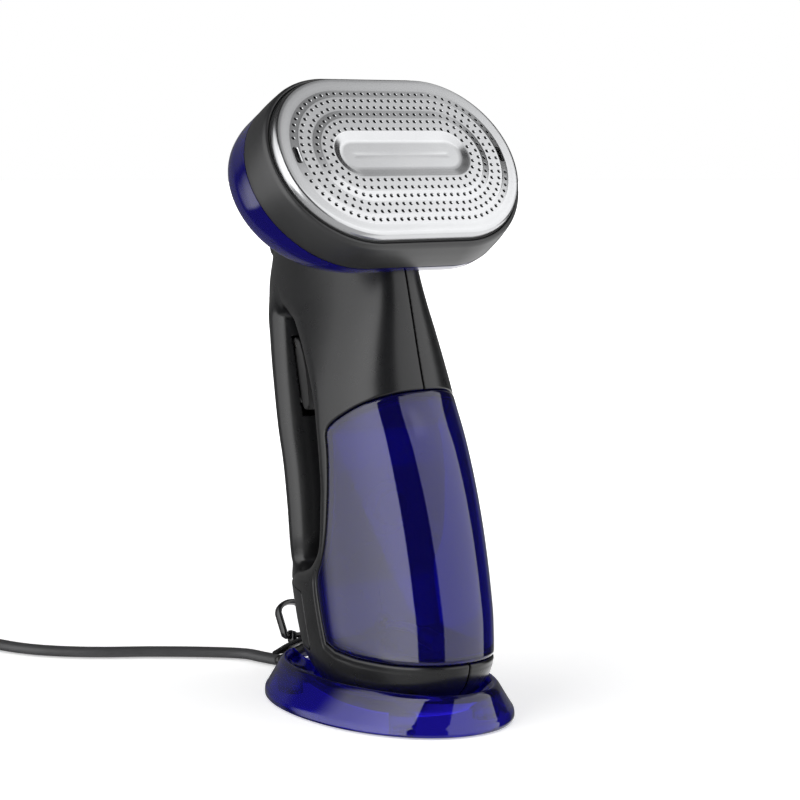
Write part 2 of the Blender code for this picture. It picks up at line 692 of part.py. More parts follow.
# ---------------------------------------------------------------- steam head
# ring tables: see head_ring for the columns
DOME_INSIDE = [
    (3.7, 3.5, -24.3, 0.2), (4.3, 2.7, -31.0, 1.2), (3.9, 0.3, -37.6, 3.0),
    (1.4, -3.6, -43.8, 4.7), (-4.6, -9.4, -49.4, 6.2), (-14.0, -17.4, -54.0, 7.2),
    (-27.0, -27.0, -57.0, 8.0),
]
BEZEL = [
    (3.2, 3.2, -4.6), (4.6, 4.6, -6.0), (5.6, 5.6, -13.0), (6.2, 6.0, -24.0, 0.2),
    (3.8, 3.6, -24.0, 0.2), (3.2, 3.2, -13.0), (2.3, 2.3, -8.6), (2.2, 2.2, -4.6),
]
PLATE_FACE = [
    (1.6, 1.6, -4.4), (1.5, 1.5, -3.8), (0.0, 0.0, 0), (-6.3, -6.3, 0.0),
    (-7.6, -7.6, 0.7), (-18.0, -18.0, 0.7), (-19.4, -19.4, 1.4), (-28.0, -30.8, 1.4),
    (-29.7, -32.4, 0.3),
]
PLATE_BACK = [
    (-29.7, -32.4, -1.6), (-19.4, -19.4, -0.9), (-7.0, -7.0, -1.6),
    (-1.8, -1.8, -1.8), (-1.2, -1.2, -4.4),
]
GASKET = [(1.8, 1.8, -8.2), (1.8, 1.8, -4.8), (-3.0, -3.0, -4.8), (-3.0, -3.0, -8.2)]
BOILER = [(-6, -6, -9.0), (-6, -6, -10.5), (-8, -8, -20.0), (-14, -14, -24.0)]
BOILER_COVER = [(-4, -4, -8.5), (-4, -4, -5.4), (-5, -5, -5.0)]
# arched heating element, in the head's own frame
ELEMENT_HALF_WIDTH, ELEMENT_ARCH, ELEMENT_OUT = 34, 14, -27.6
ELEMENT_ARCH_FOOT, ELEMENT_END = -4, -14      # heights of the arch's foot and of the ends
ELEMENT_RADIUS = 3.0
HEAD_SCREW_ACROSS = 52


def head_rear_shell():
    shell = add("head_rear_shell", pan(head_rings(DOME), head_rings(DOME_INSIDE[::-1])),
                GLOSS_BLUE)
    cut(shell, rod("cut_shell_port", 11.0, (-18, 18), head_point(0, -16, -52), (0, 1, -0.35)))


def head_front():
    """Bezel, pan-shaped steam plate with a stepped face, and its gasket."""
    add("head_bezel", loft(head_rings(BEZEL), closed=True), BEZEL_GREY)
    add("steam_plate", pan(head_rings(PLATE_FACE), head_rings(PLATE_BACK)), STEEL)
    add("plate_gasket", loft(head_rings(GASKET), closed=True), RUBBER)


def boiler():
    add("boiler_block", loft(head_rings(BOILER)), CAST)
    add("boiler_cover", loft(head_rings(BOILER_COVER)), CAST)


def heating_element():
    arch = []
    for k in range(13):
        angle = math.pi * k / 12
        arch.append(head_point(ELEMENT_HALF_WIDTH * math.cos(angle),
                               ELEMENT_ARCH * math.sin(angle) + ELEMENT_ARCH_FOOT,
                               ELEMENT_OUT))
    start, end = [head_point(across, ELEMENT_END, ELEMENT_OUT)
                  for across in (ELEMENT_HALF_WIDTH, -ELEMENT_HALF_WIDTH)]
    sweep("heating_element", [start] + arch + [end], (ELEMENT_RADIUS, ELEMENT_RADIUS), PLATED)


def head_safety():
    """Thermostat and thermal fuse behind the boiler."""
    rod("thermostat", 6.4, (-33.0, -24.5), head_point(0, -3, 0), HEAD_NORMAL, WHITE, 16)
    box("thermal_fuse", (-9, -3, -2.2), (9, 3, 2.2), WHITE, bevel=0.6,
        frame=frame_to(head_point(0, -13.5, -27.2), HEAD_NORMAL))


def head_screws():
    profile = [(0, -40), (2.8, -40), (2.8, -38.2), (1.4, -38.2), (1.4, -25.0), (0, -25.0)]
    for k, across in enumerate((-HEAD_SCREW_ACROSS, HEAD_SCREW_ACROSS)):
        turned(f"head_screw_{k + 1}", profile, head_point(across, 0, 0), HEAD_NORMAL,
               PLATED, 14)


# ---------------------------------------------------------------- cord and hang loop
SADDLE_PATH = [
    (0, 67.2, 23.8), (0, 71, 22.3), (0, 77, 19.7), (0, 85, 16.2), (0, 93, 12.2), (0, 99, 9.3),
]
CORD_PATH = [
    (-0.1, 100.4, 4.0), (-0.8, 107, 3.5), (-2.6, 116, 3.3), (-7, 130, 3.3),
    (-24, 147, 3.3), (-47, 165, 3.3), (-70, 180, 3.3), (-88, 196, 3.3),
    (-101, 214, 3.3), (-109, 236, 3.3), (-112, 262, 3.3), (-108, 288, 4.5),
    (-102, 306, 9.6),
]
PLUG = Vector((-101.0, 309.4, 10.6))
PLUG_AXIS = Vector((0.32, 0.947, 0)).normalized()
BLADE_OFFSET, BLADE_HALF_THICKNESS, BLADE_HALF_WIDTH = 6.35, 0.75, 3.1

HINGE = Vector((0, 82.8, 21.6))               # the hang loop turns about this point
LUG_THICKNESS = 3.0
LOOP_LEAN = math.radians(30.0)                # the loop leans back by this much at rest
LOOP_HALF_WIDTH, LOOP_STRAIGHT, LOOP_ARCH = 9.0, 13.0, 6.2
LOOP_HALF_THICKNESS = 1.45                    # in the plane of the loop
LOOP_HALF_DEPTH, BAR_HALF_DEPTH = 2.5, 1.4    # square to that plane


def cord_boot():
    sweep("cord_boot", BOOT_PATH, BOOT_START, GREY, end_size=BOOT_END,
          sides=12, power=0.7, steps=2)


def loop_saddle():
    """Strip over the cord boot with two lugs for the hang loop."""
    saddle = sweep("loop_saddle", SADDLE_PATH, (9.4, 1.2), BLACK, end_size=(7.0, 1.2),
                   power=0.5)
    for number, x in ((1, -6.0), (3, 3.0)):
        join(saddle, box(f"cut_lug_{number}", (x, HINGE.y - 2.9, HINGE.z - 4.0),
                         (x + LUG_THICKNESS, HINGE.y + 2.9, HINGE.z + 2.8)))
    cut(saddle, rod("cut_loop_bore", 1.9, (-20, 20), HINGE, X_AXIS, sides=12))


def hang_loop():
    """Closed loop whose lower bar turns in the saddle's two lugs."""
    lean = Vector((0, math.sin(LOOP_LEAN), math.cos(LOOP_LEAN)))
    normal = X_AXIS.cross(lean).normalized()
    side = X_AXIS * LOOP_HALF_WIDTH
    path = [HINGE + side + lean * LOOP_STRAIGHT * t for t in (0.08, 0.5, 1.0)]
    for k in range(1, 8):
        angle = math.pi * k / 8
        path.append(HINGE + side * math.cos(angle)
                    + lean * (LOOP_STRAIGHT + LOOP_ARCH * math.sin(angle)))
    path += [HINGE - side + lean * LOOP_STRAIGHT * t for t in (1.0, 0.5, 0.08)]
    bar = [HINGE + X_AXIS * x for x in (-8.0, -3.0, 3.0, 8.0)]
    bar_start = len(path)
    path += bar
    rings = []
    for i, point in enumerate(path):
        along = (path[(i + 1) % len(path)] - path[i - 1]).normalized()
        outward = along.cross(normal).normalized()
        half_depth = BAR_HALF_DEPTH if i >= bar_start else LOOP_HALF_DEPTH
        rings.append([point + outward * (LOOP_HALF_THICKNESS * math.cos(angle))
                      + normal * (half_depth * math.sin(angle)) for angle in ring_angles(8)])
    turn_on(add("hang_loop", loft(rings, closed=True), BLACK), "loop_axis", HINGE)


def power_cord():
    sweep("power_cord", CORD_PATH, (4.2, 2.9), CABLE, power=0.8, steps=2)


def mains_plug():
    turned("mains_plug", [(0, 0), (5.0, 0), (6.5, 4), (10.4, 12), (10.4, 30), (0, 30)],
           PLUG, PLUG_AXIS, RUBBER, 16)
    for k, x in enumerate((-BLADE_OFFSET, BLADE_OFFSET)):
        box(f"plug_blade_{k + 1}", (x - BLADE_HALF_THICKNESS, -BLADE_HALF_WIDTH, 30.3),
            (x + BLADE_HALF_THICKNESS, BLADE_HALF_WIDTH, 47.0), PLATED,
            frame=frame_to(PLUG, PLUG_AXIS))


# ---------------------------------------------------------------- stand
STAND_EXPONENT = 2.05
RIM_FALL = 1.5                 # the rim drops by this much towards the back
RIM_FALL_LENGTH = 76.0         # over this distance from the middle
# half width, front y, back y, height, fall: top of the bowl, skirt, underside
STAND = [
    (3, -3, 3, 4.3), (16, -28, 17, 4.3), (24, -42, 29, 5.6), (30.2, -54, 43, 8.4),
    (34.6, -63, 55, 12.4), (38.2, -71.5, 70, 18.2, RIM_FALL),
    (39.6, -74.2, 74.2, 19.2, RIM_FALL), (41.4, -76.4, 76.4, 18.6, RIM_FALL),
    (53.6, -79.6, 79.6, 5.2),
    (STAND_HALF_WIDTH, -STAND_HALF_LENGTH, STAND_HALF_LENGTH, 4.2),
    (STAND_HALF_WIDTH, -STAND_HALF_LENGTH, STAND_HALF_LENGTH, 0.8),
    (51.9, -78.0, 78.0, 0.8), (50.8, -77.0, 77.0, 4.6),
    (40.0, -73.6, 73.6, 15.2, RIM_FALL), (33.6, -61.4, 53.2, 9.6),
    (28.6, -51.6, 40.6, 5.9), (23.2, -40.8, 27.8, 3.2), (15.6, -27.4, 16.4, 2.1),
    (3, -3, 3, 2.1),
]
# x, y and top of the post over each foot
FEET = [(x, y, top) for y, top in ((-50, 8.6), (50, 11.2)) for x in (-26, 26)]
POST_RADIUS, FOOT_HOLE_RADIUS, FOOT_RADIUS = 6.9, 5.3, 5.0
PAD_RADIUS = 7.0
FOOT_EDGE = 0.4                # chamfer round the bottom of each foot


def stand_ring(half_width, front, back, height, fall=0.0, sides=30):
    middle, half_length = (front + back) / 2, (back - front) / 2
    points = []
    for angle in ring_angles(sides):
        x = signed_power(math.cos(angle), 2 / STAND_EXPONENT) * half_width
        y = middle + signed_power(math.sin(angle), 2 / STAND_EXPONENT) * half_length
        points.append((x, y, height - fall * (y / RIM_FALL_LENGTH)))
    return points


def stand_foot(number, radius, height, place, sides):
    turned(f"stand_foot_{number}", [(0, 0), (radius - FOOT_EDGE, 0), (radius, FOOT_EDGE),
                                    (radius, height), (0, height)],
           place, Z_AXIS, RUBBER, sides)


def stand():
    shell = add("stand_shell", loft([stand_ring(*row) for row in STAND]), CLEAR_BLUE)
    cut(shell, box("cut_notch", (-10.6, 57, 9.4), (10.6, 90, 40), bevel=1.5))
    for k, (x, y, top) in enumerate(FEET):
        join(shell, rod(f"cut_post_{k}", POST_RADIUS, (0.9, top), (x, y, 0), Z_AXIS, sides=14))
    for k, (x, y, _) in enumerate(FEET):
        cut(shell, rod(f"cut_foot_{k}", FOOT_HOLE_RADIUS, (-1.0, 2.9), (x, y, 0), Z_AXIS,
                       sides=14))
        stand_foot(k + 1, FOOT_RADIUS, 2.6, (x, y, 0), 14)
    # low pad under the bottom of the bowl
    stand_foot(5, PAD_RADIUS, 1.7, (0, 0, 0), 16)


def build():
    outer = body_solid("cut_outer", 0.0, BODY_BOTTOM, BODY_TOP)
    for body_part in (housing, rear_cover, tank_shell):
        body_part(outer)
    for part in (tank_plug, tank_valve, valve_spring, pickup,
                 valve_socket, pump, tube_and_harness, electronics,
                 steam_trigger, tank_release, power_button, indicator_lens, housing_screws,
                 head_rear_shell, head_front, boiler, heating_element, head_safety,
                 head_screws, cord_boot, loop_saddle, power_cord, mains_plug, hang_loop,
                 stand):
        part()
    bpy.context.view_layer.update()


build()
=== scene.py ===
import bpy
import bmesh
import json
import math
import numpy as np
from mathutils import Vector, Matrix


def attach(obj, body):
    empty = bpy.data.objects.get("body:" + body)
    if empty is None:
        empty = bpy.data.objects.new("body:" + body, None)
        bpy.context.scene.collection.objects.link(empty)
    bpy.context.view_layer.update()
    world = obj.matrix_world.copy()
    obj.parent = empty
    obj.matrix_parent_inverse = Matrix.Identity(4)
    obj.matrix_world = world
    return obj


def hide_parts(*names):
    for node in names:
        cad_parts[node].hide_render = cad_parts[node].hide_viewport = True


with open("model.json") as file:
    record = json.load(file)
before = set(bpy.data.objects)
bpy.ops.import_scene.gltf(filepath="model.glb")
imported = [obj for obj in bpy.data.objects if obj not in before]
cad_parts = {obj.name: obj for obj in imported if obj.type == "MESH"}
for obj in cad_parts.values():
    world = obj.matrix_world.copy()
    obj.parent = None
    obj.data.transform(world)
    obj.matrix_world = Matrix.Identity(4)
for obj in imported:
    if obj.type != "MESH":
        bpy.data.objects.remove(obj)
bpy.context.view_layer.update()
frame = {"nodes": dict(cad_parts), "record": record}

# Handheld garment steamer on its docking stand: the looks.
# Same frame as the part: +Z up, plate faces -Y, X = 0 is the plane of symmetry.
# Shape numbers below are millimetres; MM turns them to metres.
MM = 0.001
NODES = frame["nodes"]

GAP = 0.3
WALL = 2.6
TANK_WALL = 2.2
HEAD_C = np.array((0.0, -12.3, 284.0))
TAU = math.radians(33.3)
HEAD_N = np.array((0.0, -math.cos(TAU), math.sin(TAU)))
HEAD_UP = np.array((0.0, math.sin(TAU), math.cos(TAU)))
PLATE_W, PLATE_H = 71.0, 45.4
TANK_AXIS = np.array((0.0, math.cos(math.radians(3.0)), -math.sin(math.radians(3.0))))
SPOUT = np.array((0.0, 3.7, 42.0))
FILLER = np.array((0.0, -1.4, 103.4))

BODY = [
    (5.0, -24, -6, 14, 15.0, 2.0, 2.0), (7.0, -40, -7, 27, 23.0, 2.0, 2.0),
    (10.0, -50, -8, 37, 29.0, 2.05, 1.9), (14.0, -58, -9, 47, 33.0, 2.1, 1.85),
    (19.0, -64, -10, 56.5, 35.3, 2.1, 1.8), (25.0, -68.3, -10, 64.5, 36.8, 2.15, 1.75),
    (33.0, -70.6, -9, 69, 37.8, 2.2, 1.7), (50.0, -70.0, -6, 74.4, 38.8, 2.2, 1.68),
    (70.0, -66.8, -3, 78.6, 39.2, 2.2, 1.68), (92.0, -62.0, 0, 80.6, 39.0, 2.2, 1.7),
    (115.0, -55.3, 3, 84.4, 38.4, 2.2, 1.7), (140.0, -45.8, 7, 90.4, 37.2, 2.2, 1.75),
    (166.0, -33.2, 12, 96.4, 34.6, 2.25, 1.75), (185.0, -27.4, 16, 101.2, 30.2, 2.35, 1.78),
    (200.0, -23.4, 19, 104.8, 26.0, 2.4, 1.8), (212.0, -20.2, 22, 104.8, 22.8, 2.4, 1.85),
    (225.0, -16.6, 25, 102.0, 20.4, 2.4, 1.95), (240.0, -11.5, 28, 96.0, 19.2, 2.35, 2.0),
    (252.0, -7.0, 30, 87.5, 18.3, 2.1, 2.0), (262.0, -3.0, 32, 76.0, 17.0, 2.1, 2.0),
    (270.0, 4.0, 33, 61.0, 14.0, 2.0, 2.0),
]
SLOT = [
    (65.0, 40.0, 44.0, 50.0), (68.0, 24.0, 37.0, 55.0), (73.0, 13.0, 31.0, 54.0),
    (82.0, 7.0, 27.0, 53.0), (95.0, 5.5, 25.0, 53.5), (112.0, 5.5, 24.5, 55.5),
    (130.0, 8.0, 26.0, 59.5), (150.0, 13.0, 30.0, 63.5), (166.0, 19.5, 35.0, 67.0),
    (182.0, 32.0, 45.5, 71.0), (192.0, 43.0, 54.5, 74.0), (198.0, 53.0, 62.0, 76.5),
    (201.0, 63.0, 67.0, 74.0),
]
BAY = [(-90.0, 34.9), (0.5, 31.4), (4.5, 45.0), (8.5, 60.0), (9.5, 69.5),
       (6.0, 75.5), (2.0, 83.0), (-0.5, 96.0), (-1.2, 112.0), (-0.8, 124.0),
       (0.6, 136.0), (3.0, 144.0), (1.5, 147.8), (-3.0, 151.5), (-9.0, 155.4),
       (-16.0, 159.9), (-23.0, 163.6), (-31.0, 167.3), (-45.0, 171.5),
       (-90.0, 178.0)]
COVER = [(33.4, 58.0), (31.2, 57.3), (30.1, 55.4), (25.0, 31.2), (24.8, 29.2), (25.9, 27.7),
         (28.0, 27.2), (95.0, 27.2), (95.0, 58.0)]
SCREWS = [(6.0, 203.0, 13.0), (84.0, 226.0, 9.0), (18.0, 21.6, 22.0), (-38.0, 21.0, 22.0)]
DOME = [(6.2, 6.0, 0.2, -24.3), (6.35, 5.2, 1.2, -31.0), (5.9, 2.6, 3.2, -38.0),
        (3.6, -1.6, 5.0, -45.0), (-3.0, -8.0, 6.4, -51.5), (-13.0, -16.5, 7.4, -56.5),
        (-27.0, -27.0, 8.0, -59.5)]


# ------------------------------------------------------------ tables, fields
def pchip(xs, ys, q):
    """Monotone cubic through (xs, ys), read at q."""
    xs, ys, q = np.asarray(xs, float), np.asarray(ys, float), np.asarray(q, float)
    h = np.diff(xs)
    d = np.diff(ys) / h
    m = np.zeros(len(xs))
    m[0], m[-1] = d[0], d[-1]
    for k in range(1, len(xs) - 1):
        if d[k - 1] * d[k] > 0:
            w1, w2 = 2 * h[k] + h[k - 1], h[k] + 2 * h[k - 1]
            m[k] = (w1 + w2) / (w1 / d[k - 1] + w2 / d[k])
    q = np.clip(q, xs[0], xs[-1])
    i = np.clip(np.searchsorted(xs, q, side="right") - 1, 0, len(xs) - 2)
    t = (q - xs[i]) / h[i]
    return ((2 * t**3 - 3 * t**2 + 1) * ys[i] + (t**3 - 2 * t**2 + t) * h[i] * m[i]
            + (3 * t**2 - 2 * t**3) * ys[i + 1] + (t**3 - t**2) * h[i] * m[i + 1])


class Table:
    """Columns of a table over its first column, quick to read for many points."""
    def __init__(self, rows, step=0.2):
        rows = sorted(rows)
        z = [r[0] for r in rows]
        self.z = np.arange(z[0], z[-1] + step, step)
        ker = np.hanning(27)
        ker /= ker.sum()
        self.cols, self.grads = [], []
        for k in range(1, len(rows[0])):
            c = pchip(z, [r[k] for r in rows], self.z)
            pad = np.concatenate((2 * c[0] - c[13:0:-1], c, 2 * c[-1] - c[-2:-15:-1]))
            c = np.convolve(pad, ker, "same")[13:-13]   # takes the small kinks out
            self.cols.append(c)
            self.grads.append(np.gradient(c, step))

    def at(self, z):
        f = np.clip((z - self.z[0]) / (self.z[1] - self.z[0]), 0, len(self.z) - 1.001)
        i = f.astype(int)
        return i, f - i

    def __call__(self, z):
        i, t = self.at(z)
        return [c[i] * (1 - t) + c[i + 1] * t for c in self.cols]

    def both(self, z):
        i, t = self.at(z)
        return ([c[i] * (1 - t) + c[i + 1] * t for c in self.cols],
                [c[i] * (1 - t) + c[i + 1] * t for c in self.grads])


BODY_T = Table(BODY)
SLOT_T = Table([(40.0, 147.0, 149.0, -15.0), (62.0, 53.0, 56.0, 42.0)] + SLOT + [(204.5, 75.0, 77.0, 68.0), (225.0, 145.0, 147.0, 33.0)])
HALF_T = Table([(r[0], r[4]) for r in BODY])
DOME_T = Table([(r[3], r[0], r[1], r[2]) for r in DOME] + [(3.0, 5.6, 5.6, 0.0), (-14.0, 6.1, 6.1, 0.1)])


def ease(x, a, b):
    t = np.clip((x - a) / (b - a), 0, 1)
    return t * t * (3 - 2 * t)


def smax(a, b, k):
    """Larger of two fields with a rounded meeting of about size k."""
    h = np.maximum(k - np.abs(a - b), 0.0) / k
    return np.maximum(a, b) + h * h * k * 0.25


def smin(a, b, k):
    return -smax(-a, -b, k)


def normed(f, p, e=0.35):
    """Field divided by the length of its own slope: close to a distance."""
    v = f(p)
    g = np.empty_like(p)
    for i in range(3):
        q = p.copy()
        q[:, i] += e
        g[:, i] = (f(q) - v) / e
    return v / np.maximum(np.sqrt((g * g).sum(1)), 1e-3)


def body_d(p):
    """Close to the distance from the whole body's skin: negative inside."""
    x, y, z = np.abs(p[:, 0]), p[:, 1], p[:, 2]
    (yf, yw, yb, a, nf, nr), (gyf, gyw, gyb, ga, _, _) = BODY_T.both(z)
    v = y - yw
    front = v < 0
    b = np.where(front, yw - yf, yb - yw)
    gb = np.where(front, gyw - gyf, gyb - gyw)
    n = np.where(front, nf, nr)
    u, v, sg = np.maximum(x / a, 1e-6), np.maximum(np.abs(v) / b, 1e-6), np.sign(v)
    un, vn = u ** n, v ** n
    t = (un + vn) ** (1 / n)
    k = t / (un + vn)
    tx, ty = k * un / u / a, k * vn / v / b
    tz = -k * (un * ga / a + vn * gb / b + vn / v * sg * gyw / b)
    d = (t - 1) / np.sqrt(tx * tx + ty * ty + tz * tz)
    return smax(smax(d, 5.0 - z, 3.0), z - 269.5, 5.0)


def slot_raw(p):
    """Negative inside the hand opening."""
    x, y, z = np.abs(p[:, 0]), p[:, 1], p[:, 2]
    ye, y0, yr = SLOT_T(z)
    ye = ye - 2.4 * ease(z, 72, 86) * (1 - ease(z, 150, 185))
    a = HALF_T(z)[0]
    rise = y0 - ye
    wall = ye + rise * (1 - np.exp(-1.25 * np.maximum(a + 1.0 - x, -4.0) / rise)) / (1 - np.exp(-1.25 * (a + 1.0) / rise))
    grip = yr + 14.0 * (np.minimum(x, 19.0) / 19.0) ** 2.2
    d = smax(wall - y, y - grip, 3.0 + 9.0 * ease(z, 178, 198) + 5.0 * (1 - ease(z, 68, 80)))
    return smax(d, np.maximum(61.5 - z, z - 206.0), 14.0)


def slot_d(p):
    v = slot_raw(p)
    g = np.ones(len(p))
    for i in (0, 2):
        q = p.copy()
        q[:, i] += 0.35
        g += ((slot_raw(q) - v) / 0.35) ** 2
    return v / np.sqrt(g)


def part_of(p, mask, f, away):
    """f where the mask holds, away elsewhere."""
    out = np.full(len(p), float(away))
    if mask.any():
        out[mask] = f(p[mask])
    return out


class Outline:
    """Signed distance to a closed side-view outline (y, z): negative inside."""
    def __init__(self, pts, box, step=0.3, soften=2):
        pts = [np.array(q, float) for q in pts]
        for _ in range(soften):
            new = []
            for i in range(len(pts)):
                a, b = pts[i], pts[(i + 1) % len(pts)]
                new += [a * 0.75 + b * 0.25, a * 0.25 + b * 0.75]
            pts = new
        self.y0, self.z0, y1, z1 = box
        self.h = step
        ys, zs = np.arange(self.y0, y1 + step, step), np.arange(self.z0, z1 + step, step)
        Y, Z = np.meshgrid(ys, zs, indexing="ij")
        best = np.full(Y.shape, 1e9)
        inside = np.zeros(Y.shape, bool)
        for i in range(len(pts)):
            a, b = pts[i], pts[(i + 1) % len(pts)]
            e = b - a
            t = np.clip(((Y - a[0]) * e[0] + (Z - a[1]) * e[1]) / max(e @ e, 1e-12), 0, 1)
            best = np.minimum(best, (Y - a[0] - t * e[0]) ** 2 + (Z - a[1] - t * e[1]) ** 2)
            if a[1] != b[1]:
                hit = ((a[1] > Z) != (b[1] > Z)) & (Y < (b[0] - a[0]) * (Z - a[1]) / (b[1] - a[1]) + a[0])
                inside ^= hit
        self.v = np.sqrt(best) * np.where(inside, -1, 1)

    def __call__(self, p):
        n, m = self.v.shape
        fy = (p[:, 1] - self.y0) / self.h
        fz = (p[:, 2] - self.z0) / self.h
        cy, cz = np.clip(fy, 0, n - 1.001), np.clip(fz, 0, m - 1.001)
        i, j = cy.astype(int), cz.astype(int)
        a, b = cy - i, cz - j
        v = self.v
        out = ((v[i, j] * (1 - a) + v[i + 1, j] * a) * (1 - b)
               + (v[i, j + 1] * (1 - a) + v[i + 1, j + 1] * a) * b)
        return out + np.hypot(fy - cy, fz - cz) * self.h


bay_d = Outline([(-130.0, 36.4)] + BAY[1:-1] + [(-130.0, 183.8)], (-88, 14, 28, 196))
cover_d = Outline([(33.4, 58.0), (31.2, 57.3), (30.1, 55.4), (25.0, 31.2), (24.8, 29.2), (25.9, 27.7),
                   (28.0, 27.2), (120.0, 27.2), (120.0, 58.0)], (12, 12, 98, 74), soften=1)


def cyl_d(p, c, axis, r, lo=None, hi=None):
    q = p - c
    h = q @ axis
    d = np.sqrt(np.maximum((q * q).sum(1) - h * h, 0.0)) - r
    if lo is not None:
        d = np.maximum(d, np.maximum(lo - h, h - hi))
    return d


def boss_d(p, c, axis, r, top):
    """Short round boss with a rolled edge."""
    return smax(cyl_d(p, c, axis, r), (p - c) @ axis - top, 2.0)


def box_d(p, lo, hi):
    lo, hi = np.array(lo, float), np.array(hi, float)
    q = np.abs(p - (lo + hi) / 2) - (hi - lo) / 2
    return np.sqrt((np.maximum(q, 0) ** 2).sum(1)) + np.minimum(q.max(1), 0)


def dome_raw(p):
    """Outside of the head's rear shell."""
    q = p - HEAD_C
    u, v, h = np.abs(q[:, 0]), q @ HEAD_UP, q @ HEAD_N
    ow, oh, sh = DOME_T(h)
    r = PLATE_H + oh
    flat = np.maximum(PLATE_W + ow - r, 0.0)
    d = np.hypot(np.maximum(u - flat, 0.0), v - sh) - r
    return np.maximum(d, -60.2 - h)


def dome_d(p):
    return normed(dome_raw, p)


BOOT = np.array([(47, 19.0), (53, 19.2), (60, 19.4), (66, 18.3), (71, 16.8), (77, 14.1), (85, 10.6), (93, 6.7), (99, 4.6)])


def boot_d(p, w0=8.0, w1=6.0, h0=4.2, h1=3.4):
    best = np.full(len(p), 1e9)
    s = np.zeros(len(p))
    side = np.zeros(len(p))
    for i in range(len(BOOT) - 1):
        a, b = BOOT[i], BOOT[i + 1]
        e = b - a
        t = np.clip(((p[:, 1] - a[0]) * e[0] + (p[:, 2] - a[1]) * e[1]) / (e @ e), 0, 1)
        d = np.hypot(p[:, 1] - a[0] - t * e[0], p[:, 2] - a[1] - t * e[1])
        m = d < best
        best = np.where(m, d, best)
        s = np.where(m, (i + t) / (len(BOOT) - 1), s)
    w, h = w0 + (w1 - w0) * s, h0 + (h1 - h0) * s
    n = 2.9
    return (((np.abs(p[:, 0]) / w) ** n + (best / h) ** n) ** (1 / n) - 1) * h


# ------------------------------------------------------------ field to mesh
def sample(f, pts, chunk=400000):
    out = np.empty(len(pts))
    for i in range(0, len(pts), chunk):
        out[i:i + chunk] = f(pts[i:i + chunk])
    return out


def slope(f, p, e, v=None):
    g = np.empty_like(p)
    for i in range(3):
        q = p.copy()
        q[:, i] += e
        if v is None:
            r = p.copy()
            r[:, i] -= e
            g[:, i] = (sample(f, q) - sample(f, r)) / (2 * e)
        else:
            g[:, i] = (sample(f, q) - v) / e
    return g


